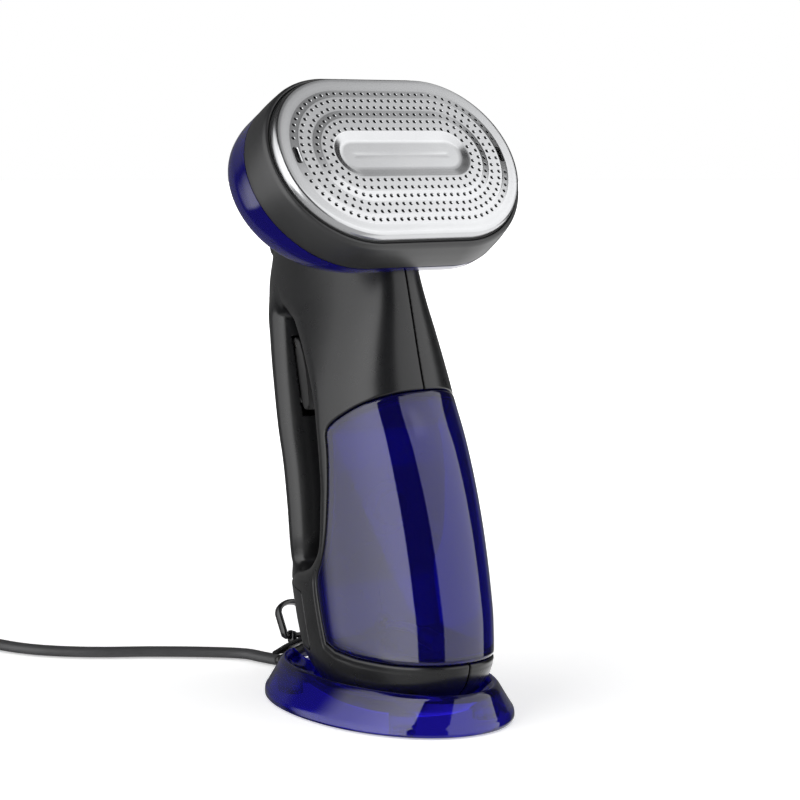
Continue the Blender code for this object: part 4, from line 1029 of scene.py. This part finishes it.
def pan(name, face, back, n, angle=35.0, crown=False):
    """Closed pan: face rings from the rim to the middle, back rings from the middle out."""
    rings = [head_ring(*q, n=n, crown=crown and (q[3] > -1.0 or q[0] < -5)) for q in face + back]
    bm = bmesh.new()
    vs = [[bm.verts.new([c * MM for c in p]) for p in r] for r in rings]
    k_in = len(face) - 1
    for i in range(len(vs)):
        if i == k_in:
            continue
        a, b = vs[i], vs[(i + 1) % len(vs)]
        for k in range(n):
            bm.faces.new((a[k], a[(k + 1) % n], b[(k + 1) % n], b[k]))
    for ring in (vs[k_in], vs[k_in + 1]):
        mid = bm.verts.new(sum((v.co for v in ring), Vector()) / n)
        for k in range(n):
            bm.faces.new((ring[k], ring[(k + 1) % n], mid))
    outward(bm)
    me = bpy.data.meshes.new(name)
    bm.to_mesh(me)
    bm.free()
    return smooth(link(name, me), angle)


dome = pan("head_rear_skin", [tuple(q) for q in outer_prof], [tuple(q) for q in inner_prof[::-1]], HN)
port_p = HEAD_C + HEAD_UP * -16 + HEAD_N * -52
boolean(dome, turned("port", [(0, -18), (11, -18), (11, 18), (0, 18)], port_p, (0, 1, -0.35), 64), angle=40)
stand_in(dome, "head_rear_shell")

bezel_prof = [(2.2, 2.2, 0, -8.6), (2.15, 2.15, 0, -5.3), (2.6, 2.6, 0, -4.75), (3.6, 3.6, 0, -4.75), (4.75, 4.75, 0, -6.6),
              (5.55, 5.55, 0, -13.0), (6.0, 5.95, 0.1, -19.0), (6.2, 6.0, 0.2, -24.0), (3.8, 3.6, 0.2, -24.0), (3.2, 3.2, 0, -13.0)]
bezel_prof = fillet(bezel_prof, [0.2, 0.4, 0.4, 0.9, 1.2, 2.0, 2.0, 0.35, 0.3, 0.3], 4, True, [0, 3])
bezel = rings_object("head_bezel_skin", [head_ring(*q, n=HN) for q in bezel_prof], closed=True, angle=50)
stand_in(bezel, "head_bezel")

# plate: bevelled rim, two raised steps that carry hole rows, sunk middle
SH = -0.65
face = [(1.6, 1.6, 0, -4.4), (1.5, 1.5, 0, -3.9), (1.25, 1.25, 0, -2.2), (0.55, 0.55, 0, -0.5), (-0.6, -0.6, 0, 0.0),
        (-6.1, -6.5, SH, 0.0), (-6.6, -7.0, SH, 0.12), (-10.0, -10.4, SH, 0.68), (-10.4, -10.8, SH, 0.8),
        (-18.3, -19.1, SH, 0.8), (-18.8, -19.6, SH, 0.92), (-22.1, -23.4, SH, 1.5), (-22.5, -23.8, SH, 1.6),
        (-29.7, -32.3, SH * 0.5, 1.6), (-30.3, -32.9, SH * 0.5, 1.45), (-33.3, -36.1, SH * 0.5, 0.15), (-34.0, -36.7, SH * 0.5, 0.0)]
face = fillet(face, [0, 0.2, 0.5, 0.7, 1.2, 0.3, 0.25, 0.25, 0.25, 0.3, 0.25, 0.25, 0.25, 0.3, 0.3, 0.4, 0], 3, False, [0, 3])
face = dense(face + [(-42.2, -44.9, SH * 0.5, 0.0)], 2.2)
back = [(-42.2, -44.9, SH * 0.5, -1.9), (-34.0, -36.7, SH * 0.5, -1.9), (-22.0, -23.4, SH, -0.9), (-7.0, -7.4, SH, -1.6), (-1.8, -1.8, 0, -1.8), (-1.2, -1.2, 0, -4.4)]
plate = pan("steam_plate_skin", [tuple(q) for q in face], back, HN, 20, True)
ROWS = [(7.9, 8.4, 0.35), (12.2, 12.9, 0.8), (16.4, 17.0, 0.8), (20.5, 21.4, 1.2), (24.3, 26.0, 1.6), (28.4, 30.4, 1.6)]
PITCH = 4.18
drills = []
for row_i, (iw, ih, top) in enumerate(ROWS):
    w, hh = PLATE_W - iw, PLATE_H - ih
    flat = w - hh
    total = 4 * flat + 2 * math.pi * hh
    count = int(round(total / PITCH / 2)) * 2
    for k in range(count):
        s_ = (k + (0.5 if row_i % 2 == 0 else 0.0)) / count * total
        if s_ < flat:
            u, v = s_, hh
        elif s_ < flat + math.pi * hh:
            q = (s_ - flat) / hh
            u, v = flat + hh * math.sin(q), hh * math.cos(q)
        elif s_ < 3 * flat + math.pi * hh:
            u, v = flat - (s_ - flat - math.pi * hh), -hh
        elif s_ < 3 * flat + 2 * math.pi * hh:
            q = (s_ - 3 * flat - math.pi * hh) / hh
            u, v = -flat - hh * math.sin(q), -hh * math.cos(q)
        else:
            u, v = -flat + (s_ - 3 * flat - 2 * math.pi * hh), hh
        if row_i == 0 and abs(v) < 6.4 and abs(u) > flat:
            continue
        drills.append((u, v + SH, top))
bm = bmesh.new()
DN = 14
for u, v, top in drills:
    c = HEAD_C + np.array((u, 0, 0)) + HEAD_UP * v + HEAD_N * crowned(u, v, 0.0)
    rings = []
    for r_, h_ in ((0.86, -4.2), (0.86, top - 0.42), (0.98, top - 0.12), (1.12, top + 0.06), (1.3, top + 0.9)):
        rings.append([bm.verts.new((c + HEAD_N * h_ + np.array((1, 0, 0)) * r_ * math.cos(2 * math.pi * k / DN)
                                    + HEAD_UP * r_ * math.sin(2 * math.pi * k / DN)) * MM) for k in range(DN)])
    for a, b in zip(rings, rings[1:]):
        for k in range(DN):
            bm.faces.new((a[k], a[(k + 1) % DN], b[(k + 1) % DN], b[k]))
    bm.faces.new(rings[0][::-1])
    bm.faces.new(rings[-1])
for s_ in (-1, 1):                                       # slots at the two ends of the outer row
    rings = []
    for g_, h_ in ((0.0, -4.2), (0.0, 0.1), (0.25, 0.6), (0.3, 1.6)):
        ring = []
        for k in range(32):
            q = 2 * math.pi * k / 32
            cc, ss = math.cos(q), math.sin(q)
            v = math.copysign(3.25, ss) + (1.45 + g_) * ss
            u = (1.45 + g_) * cc
            bend = s_ * (63.0 - (v * v) / 80.0) + u
            c = HEAD_C + np.array((bend, 0, 0)) + HEAD_UP * (v + SH + 0.6) + HEAD_N * crowned(bend, v, h_)
            ring.append(bm.verts.new(c * MM))
        rings.append(ring)
    for a, b in zip(rings, rings[1:]):
        for k in range(32):
            bm.faces.new((a[k], a[(k + 1) % 32], b[(k + 1) % 32], b[k]))
    bm.faces.new(rings[0][::-1])
    bm.faces.new(rings[-1])
bmesh.ops.recalc_face_normals(bm, faces=bm.faces)
me = bpy.data.meshes.new("drills")
bm.to_mesh(me)
bm.free()
boolean(plate, link("drills", me), angle=20)
stand_in(plate, "steam_plate")

gasket = rings_object("plate_gasket_skin", [head_ring(*q, n=HN) for q in fillet(
    [(1.85, 1.85, 0, -8.2), (1.95, 1.95, 0, -5.2), (1.7, 1.7, 0, -4.75), (-3.0, -3.0, 0, -4.8), (-3.0, -3.0, 0, -8.2)],
    0.3, 3, True, [0, 3])], closed=True)
stand_in(gasket, "plate_gasket")


# ------------------------------------------------------------ stand
def oval(a, yf, yb, z, rise=0.0, n=256, e=2.05):
    yc, b = (yf + yb) / 2, (yb - yf) / 2
    ring = []
    for k in range(n):
        q = 2 * math.pi * (k + 0.5) / n
        c, s = math.cos(q), math.sin(q)
        y = yc + math.copysign(abs(s) ** (2 / e), s) * b
        ring.append((math.copysign(abs(c) ** (2 / e), c) * a, y, z - rise * (y / 76.0)))
    return ring


bowl = [(3, -3, 3, 4.3, 0), (16, -28, 17, 4.3, 0), (24, -42, 29, 5.6, 0), (30.2, -54, 43, 8.4, 0), (34.6, -63, 55, 12.4, 0),
        (37.6, -70.6, 68.6, 17.0, 1.4)]
lip = [(38.9, -73.6, 73.3, 19.0, 1.5), (40.6, -75.6, 75.6, 19.2, 1.5), (42.4, -76.9, 76.9, 17.4, 1.5)]
skirt = [(52.9, -79.4, 79.4, 5.9, 0.1), (54.0, -80.2, 80.2, 4.6, 0), (54.3, -80.5, 80.5, 2.6, 0), (54.2, -80.4, 80.4, 0.8, 0),
         (52.0, -78.1, 78.1, 0.8, 0), (50.9, -77.1, 77.1, 4.4, 0)]
under = [(40.2, -74.0, 74.0, 15.4, 1.5), (33.6, -61.4, 53.2, 9.6, 0), (28.6, -51.6, 40.6, 5.9, 0), (23.2, -40.8, 27.8, 3.2, 0),
         (15.6, -27.4, 16.4, 2.1, 0), (3, -3, 3, 2.1, 0)]
prof = fillet([tuple(q) for q in spline(bowl, 4)] + lip + skirt + under,
              [0.0] + [0.4] * 19 + [0.8] + [1.0, 0.9, 1.0] + [1.5, 0.8, 1.2, 0.35, 0.3, 1.2] + [2.0, 1.5, 1.5, 1.5, 1.5, 0],
              4, False, [0, 3])
stand = rings_object("stand_skin", [oval(*q) for q in prof], angle=50)
notch = rounded_box("notch", (-10.6, 57, 9.4), (10.6, 90, 40), 2.0, 5)
boolean(stand, notch, angle=40)
posts = [turned("post", [(0, 0.9), (6.9, 0.9), (6.9, t_), (0, t_)], (x_, y_, 0), (0, 0, 1), 40)
         for x_, y_, t_ in ((-26, -50, 8.6), (26, -50, 8.6), (-26, 50, 11.2), (26, 50, 11.2))]
boolean(stand, joined("posts", posts), "UNION", angle=40)
pits = [turned("pit", [(0, -1.0), (5.3, -1.0), (5.3, 2.9), (0, 2.9)], (x_, y_, 0), (0, 0, 1), 40)
        for x_, y_ in ((-26, -50), (26, -50), (-26, 50), (26, 50))]
boolean(stand, joined("pits", pits), angle=40)
stand_in(stand, "stand_shell")
for k, (x_, y_) in enumerate(((-26, -50), (26, -50), (-26, 50), (26, 50))):
    foot = turned("foot_%d" % (k + 1), fillet([(0, 0), (5.0, 0), (5.0, 2.6), (0, 2.6)], [0, 0.6, 0.3, 0], 3), (x_, y_, 0), (0, 0, 1), 40)
    stand_in(foot, "stand_foot_%d" % (k + 1))
stand_in(turned("foot_5", fillet([(0, 0), (7.0, 0), (7.0, 1.7), (0, 1.7)], [0, 0.5, 0.3, 0], 3), (0, 0, 0), (0, 0, 1), 40), "stand_foot_5")

# ------------------------------------------------------------ cord and its fittings
BOOT_PATH = [(0, 53, 19.2), (0, 60, 19.4), (0, 66, 18.3), (0, 71, 16.8), (0, 77, 14.1), (0, 85, 10.6), (0, 93, 6.7), (0, 99, 4.6)]


def boot_section(w, h, t):
    ribs = 1.0 - (0.075 * max(0.0, math.cos(t * math.pi * 2 * 11)) if 0.5 < t < 0.97 else 0.0)
    return superellipse(48, 2.9)(w * ribs, h * ribs, t)


stand_in(swept("cord_boot_skin", BOOT_PATH, ((7.6, 3.8), (5.6, 3.0)), boot_section, 14), "cord_boot")
SADDLE = [(0, 67.2, 23.8), (0, 71, 22.3), (0, 77, 19.7), (0, 85, 16.2), (0, 93, 12.2), (0, 99, 9.3)]
saddle = swept("loop_saddle_skin", SADDLE, ((9.4, 1.2), (7.0, 1.2)), superellipse(40, 4.0), 6)
lugs = [rounded_box("lug", (min(s * 3.0, s * 6.0), 79.9, 17.6), (max(s * 3.0, s * 6.0), 85.7, 24.4), 0.9, 4) for s in (-1, 1)]
boolean(saddle, joined("lugs", lugs), "UNION", angle=40)
boolean(saddle, turned("bore", [(0, -20), (1.9, -20), (1.9, 20), (0, 20)], (0, 82.8, 21.6), (1, 0, 0), 32), angle=40)
stand_in(saddle, "loop_saddle")


def cord_section(w, h, t):
    out = []
    for k in range(40):
        q = 2 * math.pi * (k + 0.5) / 40
        c, s = math.cos(q), math.sin(q)
        x = math.copysign(abs(c) ** 0.85, c) * w
        y = math.copysign(abs(s) ** 0.85, s) * h * (1 - 0.2 * math.exp(-(x / 1.1) ** 2))
        out.append((x, y))
    return out


CORD = [(-0.1, 100.4, 4.0), (-0.8, 107, 3.5), (-2.6, 116, 3.3), (-7, 130, 3.3), (-24, 147, 3.3), (-47, 165, 3.3),
        (-70, 180, 3.3), (-88, 196, 3.3), (-101, 214, 3.3), (-109, 236, 3.3), (-112, 262, 3.3), (-108.8, 286, 4.8), (-104.6, 299, 8.8),
        (-101.6, 307.6, 10.4), (-99.4, 314.1, 10.6)]
stand_in(swept("power_cord_skin", CORD, ((4.2, 2.9),), cord_section, 16), "power_cord")

HINGE = np.array((0, 82.8, 21.6))
LEAN = np.array((0, math.sin(math.radians(30)), math.cos(math.radians(30))))
X1 = np.array((1.0, 0, 0))
ring = [HINGE + X1 * 9 + LEAN * 13 * t for t in np.linspace(0.1, 1.0, 9)[:-1]]
ring += [HINGE + X1 * 9 * math.cos(a) + LEAN * (13 + 6.2 * math.sin(a)) for a in np.linspace(0, math.pi, 25)]
ring += [HINGE - X1 * 9 + LEAN * 13 * t for t in np.linspace(1.0, 0.1, 9)[1:]]
bar0 = len(ring)
ring += [HINGE - X1 * 8.2 * (1 - 2 * t) for t in np.linspace(0.0, 1.0, 15)]
NN = np.cross(X1, LEAN)
rings = []
m_ = len(ring)
for i, q in enumerate(ring):
    dd = ring[(i + 1) % m_] - ring[i - 1]
    dd = dd / np.linalg.norm(dd)
    out = np.cross(dd, NN)
    out /= np.linalg.norm(out)
    on_bar = i >= bar0
    deep = 1.4 if on_bar else 2.5
    sec = []
    for k in range(28):
        a = 2 * math.pi * (k + 0.5) / 28
        c, s = math.cos(a), math.sin(a)
        cc = math.copysign(abs(c) ** 0.75, c)
        sc = math.copysign(abs(s) ** 0.75, s)
        sec.append(q + out * 1.45 * (cc if not on_bar else c) + NN * deep * (sc if not on_bar else s))
    rings.append(sec)
stand_in(rings_object("hang_loop_skin", rings, closed=True, angle=60), "hang_loop")

PLUG_D = np.array((0.32, 0.947, 0.0)) / math.hypot(0.32, 0.947)
plug = turned("mains_plug_skin", fillet([(0, 0), (5.0, 0), (6.4, 4), (10.2, 12), (10.4, 18), (10.4, 30), (0, 30)],
                                        [0, 0.8, 2, 3, 2, 1.2, 0], 5), (-101.0, 309.4, 10.6), PLUG_D, 64,
              wave=lambda q, r, h: 1.0 - (0.05 * max(0.0, math.cos(h * 2.4)) if 13.5 < h < 27 else 0.0))
stand_in(plug, "mains_plug")

# ------------------------------------------------------------ controls and small parts
TRIG = [(71.8, 186.4), (68.9, 184.6), (65.8, 178.0), (63.2, 170.0), (61.0, 160.0), (60.3, 153.0),
        (61.0, 149.4), (62.6, 148.0), (65.0, 149.6), (69.5, 157.0), (73.6, 167.0), (76.6, 178.0),
        (76.8, 183.4), (75.0, 186.4)]
trig = prism_piece("steam_trigger_skin", [tuple(q) for q in fillet(TRIG, 1.6, 3, True)], -7.9, 7.9, 1.2, 4)
boolean(trig, turned("pin_bore", [(0, -20), (1.8, -20), (1.8, 20), (0, 20)], (0, 73.6, 182.4), (1, 0, 0), 32), angle=40)
stand_in(trig, "steam_trigger")
# Painted shade: the trigger sits in the shadowed hand opening, so its plastic is made darker and duller than the
# housing's.
trig.data.materials[0] = plastic("trigger_grey_painted_shade", (0.004, 0.004, 0.0045), 0.52, 0.08)
stand_in(turned("tank_release_skin", fillet([(0, -11.5), (2.2, -11.5), (2.2, -1.5), (5.9, -1.5), (5.9, 4.4), (2.5, 4.0), (0, 3.9)],
                                            [0, 0.3, 0.4, 0.3, 0.9, 1.5, 0], 4), RELEASE_P, YAX, 48), "tank_release")
stand_in(turned("power_button_skin", fillet([(0, -4.5), (3.0, -4.5), (3.0, -2.2), (6.4, -2.2), (6.4, 1.6), (3.0, 1.3), (0, 1.2)],
                                            [0, 0.3, 0.3, 0.3, 0.8, 2.0, 0], 5), POWER_P, POWER_AX, 64), "power_button")
stand_in(turned("indicator_skin", fillet([(0, -3.5), (2.4, -3.5), (2.4, 0.5), (0, 0.8)], [0, 0.3, 0.6, 0], 4), LAMP_P, LAMP_AX, 40),
         "indicator_lens")
plugc = turned("tank_plug_skin", fillet([(0, -4.6), (8.9, -4.6), (8.9, 2.7), (12.4, 2.7), (12.4, 4.4), (4.0, 4.4), (4.0, 7.0), (0, 7.0)],
                                        [0, 0.6, 0.3, 0.4, 0.6, 0.8, 0.7, 0], 4), FILLER, TANK_AXIS, 64,
               wave=lambda q, r, h: 1 + 0.03 * math.cos(q * 24) if r > 11 and h > 2 else 1)
stand_in(plugc, "tank_plug")
for k, (y_, z_, r_) in enumerate(SCREWS):
    sc = turned("screw_%d" % (k + 1), fillet([(0, -7.9), (1.4, -7.9), (1.4, r_ + 0.3), (2.9, r_ + 0.3), (2.9, r_ + 1.3), (1.8, r_ + 2.1),
                                              (0, r_ + 2.2)], [0, 0.3, 0.1, 0.1, 0.4, 0.6, 0], 3), (0, y_, z_), (1, 0, 0), 40)
    cross = joined("cross", [rounded_box("c", (r_ + 1.0, y_ - 1.5, z_ - 0.28), (r_ + 3.0, y_ + 1.5, z_ + 0.28), 0.08, 1)])
    boolean(sc, cross, angle=35)
    cross = joined("cross", [rounded_box("c", (r_ + 1.0, y_ - 0.28, z_ - 1.5), (r_ + 3.0, y_ + 0.28, z_ + 1.5), 0.08, 1)])
    boolean(sc, cross, angle=35)
    stand_in(sc, "housing_screw_%d" % (k + 1))

# ------------------------------------------------------------ stage, light, camera
def calc(nt, op, a, b=None, clamp=False):
    m = nt.nodes.new("ShaderNodeMath")
    m.operation = op
    m.use_clamp = clamp
    for k, q in enumerate((a, b)):
        if q is None:
            continue
        if isinstance(q, (int, float)):
            m.inputs[k].default_value = q
        else:
            nt.links.new(q, m.inputs[k])
    return m.outputs["Value"]


def step(nt, x, at, soft_, lo=0.0, hi=1.0):
    m = nt.nodes.new("ShaderNodeMapRange")
    m.interpolation_type = "SMOOTHSTEP"
    m.inputs["From Min"].default_value, m.inputs["From Max"].default_value = at - soft_, at + soft_
    m.inputs["To Min"].default_value, m.inputs["To Max"].default_value = lo, hi
    nt.links.new(x, m.inputs["Value"])
    return m.outputs["Result"]


def window(nt, x, a, b, soft_):
    return calc(nt, "MULTIPLY", step(nt, x, a, soft_), step(nt, x, b, soft_, 1.0, 0.0))


def studio(nt, way):
    """Radiance of the softboxes and sweep by direction. Bearing 0 is -Y, 90 is +X, degrees."""
    sep = nt.nodes.new("ShaderNodeSeparateXYZ")
    nt.links.new(way, sep.inputs["Vector"])
    x, y, z = (sep.outputs[k] for k in "XYZ")
    az = calc(nt, "MULTIPLY", calc(nt, "ARCTAN2", x, calc(nt, "MULTIPLY", y, -1.0)), 180 / math.pi)
    back_az = calc(nt, "MULTIPLY", calc(nt, "ARCTAN2", calc(nt, "MULTIPLY", x, -1.0), y), 180 / math.pi)
    el = calc(nt, "MULTIPLY", calc(nt, "ARCSINE", z), 180 / math.pi)
    left = calc(nt, "MULTIPLY", calc(nt, "MULTIPLY", step(nt, az, -147, 8.0), step(nt, az, -62, 1.2, 1.0, 0.0)), window(nt, el, -17, 50, 2.0))
    right = calc(nt, "MULTIPLY", window(nt, az, -15, 72, 1.5), window(nt, el, -14, 44, 3.0))
    over = calc(nt, "MULTIPLY", window(nt, az, 2, 118, 6.0), window(nt, el, 42, 78, 5.0))
    over = calc(nt, "MULTIPLY", over, step(nt, el, 51, 9, 1.2, 0.3))
    sweep = calc(nt, "MULTIPLY", window(nt, back_az, -72, 20, 4.0), window(nt, el, -40, 24, 3.0))
    total = calc(nt, "ADD", calc(nt, "MULTIPLY", left, step(nt, az, -112, 38, 1.2, 2.8)), calc(nt, "MULTIPLY", right, step(nt, az, 30, 45, 1.35, 1.7)))
    total = calc(nt, "ADD", calc(nt, "ADD", total, over), calc(nt, "MULTIPLY", sweep, 0.10))
    table = calc(nt, "MULTIPLY", window(nt, az, -108, 150, 6.0), step(nt, el, -15, 2.0, 1.0, 0.0))
    total = calc(nt, "ADD", total, calc(nt, "MULTIPLY", table, step(nt, az, 30, 12, 0.6, 1.3)))
    return calc(nt, "ADD", total, 0.035)


FLOOR_GLOW = 0.42


def floor_piece():
    """Pale floor: flat, reaching far behind."""
    bm = bmesh.new()
    prof_ = [(-3.0, 0.0), (-1.0, 0.0), (0.0, 0.0), (2.0, 0.0), (6.0, 0.0), (14.0, 0.0)]
    th = math.radians(36.0)
    ax, ay = math.sin(th), math.cos(th)
    rows_ = [[bm.verts.new((s * ax + x * ay, s * ay - x * ax, z)) for x in (-12, -4, 0, 4, 12)] for s, z in prof_]
    for a, b in zip(rows_, rows_[1:]):
        for k in range(4):
            bm.faces.new((a[k], a[k + 1], b[k + 1], b[k]))
    bmesh.ops.recalc_face_normals(bm, faces=bm.faces)
    me = bpy.data.meshes.new("floor")
    bm.to_mesh(me)
    bm.free()
    ob = link("floor", me)
    ob.data.shade_smooth()
    m, nt, p = new_material("floor")
    vec = coords(nt)
    nt.links.new(ramp(nt, noise(nt, vec, 3.0), [(0.3, (0.88, 0.88, 0.885)), (0.7, (0.90, 0.90, 0.90))]), p.inputs["Base Color"])
    p.inputs["Roughness"].default_value = 0.8
    ln = nt.nodes.new("ShaderNodeVectorMath")
    ln.operation = "LENGTH"
    nt.links.new(vec, ln.inputs[0])
    p.inputs["Emission Color"].default_value = (1, 1, 1, 1)
    nt.links.new(step(nt, ln.outputs["Value"], 0.58, 0.34, FLOOR_GLOW, 1.2), p.inputs["Emission Strength"])
    path = nt.nodes.new("ShaderNodeLightPath")
    geo = nt.nodes.new("ShaderNodeNewGeometry")
    flip = nt.nodes.new("ShaderNodeVectorMath")
    flip.operation = "SCALE"
    flip.inputs["Scale"].default_value = -1.0
    nt.links.new(geo.outputs["Incoming"], flip.inputs[0])
    seen = nt.nodes.new("ShaderNodeEmission")
    seen.inputs["Color"].default_value = (1, 1, 1, 1)
    nt.links.new(studio(nt, flip.outputs["Vector"]), seen.inputs["Strength"])
    mix = nt.nodes.new("ShaderNodeMixShader")
    nt.links.new(path.outputs["Is Glossy Ray"], mix.inputs["Fac"])
    nt.links.new(p.outputs["BSDF"], mix.inputs[1])
    nt.links.new(seen.outputs["Emission"], mix.inputs[2])
    # Painted shade: rays through the tinted see-through parts see the floor as a flat dim grey glow, which makes those
    # parts look deeper.
    through_floor_shade = nt.nodes.new("ShaderNodeEmission")
    through_floor_shade.inputs["Color"].default_value = (0.30, 0.30, 0.31, 1)
    through = nt.nodes.new("ShaderNodeMixShader")
    nt.links.new(path.outputs["Is Transmission Ray"], through.inputs["Fac"])
    nt.links.new(mix.outputs["Shader"], through.inputs[1])
    nt.links.new(through_floor_shade.outputs["Emission"], through.inputs[2])
    nt.links.new(through.outputs["Shader"], nt.nodes["Material Output"].inputs["Surface"])
    ob.data.materials.append(m)
    return ob


floor_piece()


def softbox(name, at, aim, w, h, power, color=(1, 1, 1)):
    li = bpy.data.lights.new(name, "AREA")
    li.shape = "RECTANGLE"
    li.size, li.size_y, li.energy, li.color = w, h, power, color
    ob = bpy.data.objects.new(name, li)
    bpy.context.scene.collection.objects.link(ob)
    ob.location = at
    ob.rotation_euler = (Vector(aim) - Vector(at)).to_track_quat("-Z", "Y").to_euler()
    return ob


TH, EL = math.radians(36.0), math.radians(6.6)
CB = Vector((-math.sin(TH) * math.cos(EL), -math.cos(TH) * math.cos(EL), math.sin(EL)))
CR = Vector((math.cos(TH), -math.sin(TH), 0.0))
CU = CB.cross(CR)
MID = Vector((0, 0, 0.16))


def from_view(right, toward, up):
    """Point right / toward the camera / up of the object, metres."""
    back_ = Vector((CB.x, CB.y, 0)).normalized()
    return MID + CR * right + back_ * toward + Vector((0, 0, up))


softbox("top_panel", (-0.1, 0.1, 1.9), (0, 0.05, 0.0), 2.0, 2.0, 1.1 * math.pi * 4.0).visible_glossy = False
world = bpy.data.worlds.new("world")
bpy.context.scene.world = world
world.use_nodes = True
wn = world.node_tree
bg = wn.nodes["Background"]
tc_ = wn.nodes.new("ShaderNodeTexCoord")
lp_ = wn.nodes.new("ShaderNodeLightPath")
rest_ = calc(wn, "SUBTRACT", 1.0, lp_.outputs["Is Camera Ray"])
wn.links.new(calc(wn, "ADD", calc(wn, "MULTIPLY", studio(wn, tc_.outputs["Generated"]), rest_), lp_.outputs["Is Camera Ray"]),
             bg.inputs["Strength"])
bg.inputs["Color"].default_value = (1.0, 1.0, 1.0, 1)

cam = bpy.data.cameras.new("camera")
cam_ob = bpy.data.objects.new("camera", cam)
bpy.context.scene.collection.objects.link(cam_ob)
cam.sensor_width = 36.0
cam.lens = 2270.0 / 800.0 * 36.0
cam.clip_start = 0.05
pos = Vector((0, -0.0115, 0.1602)) + CB * 1.155
cam_ob.matrix_world = Matrix((CR, CU, CB)).transposed().to_4x4()
cam_ob.location = pos
bpy.context.scene.camera = cam_ob
bpy.context.scene.view_settings.view_transform = "Standard"

bpy.context.view_layer.update()
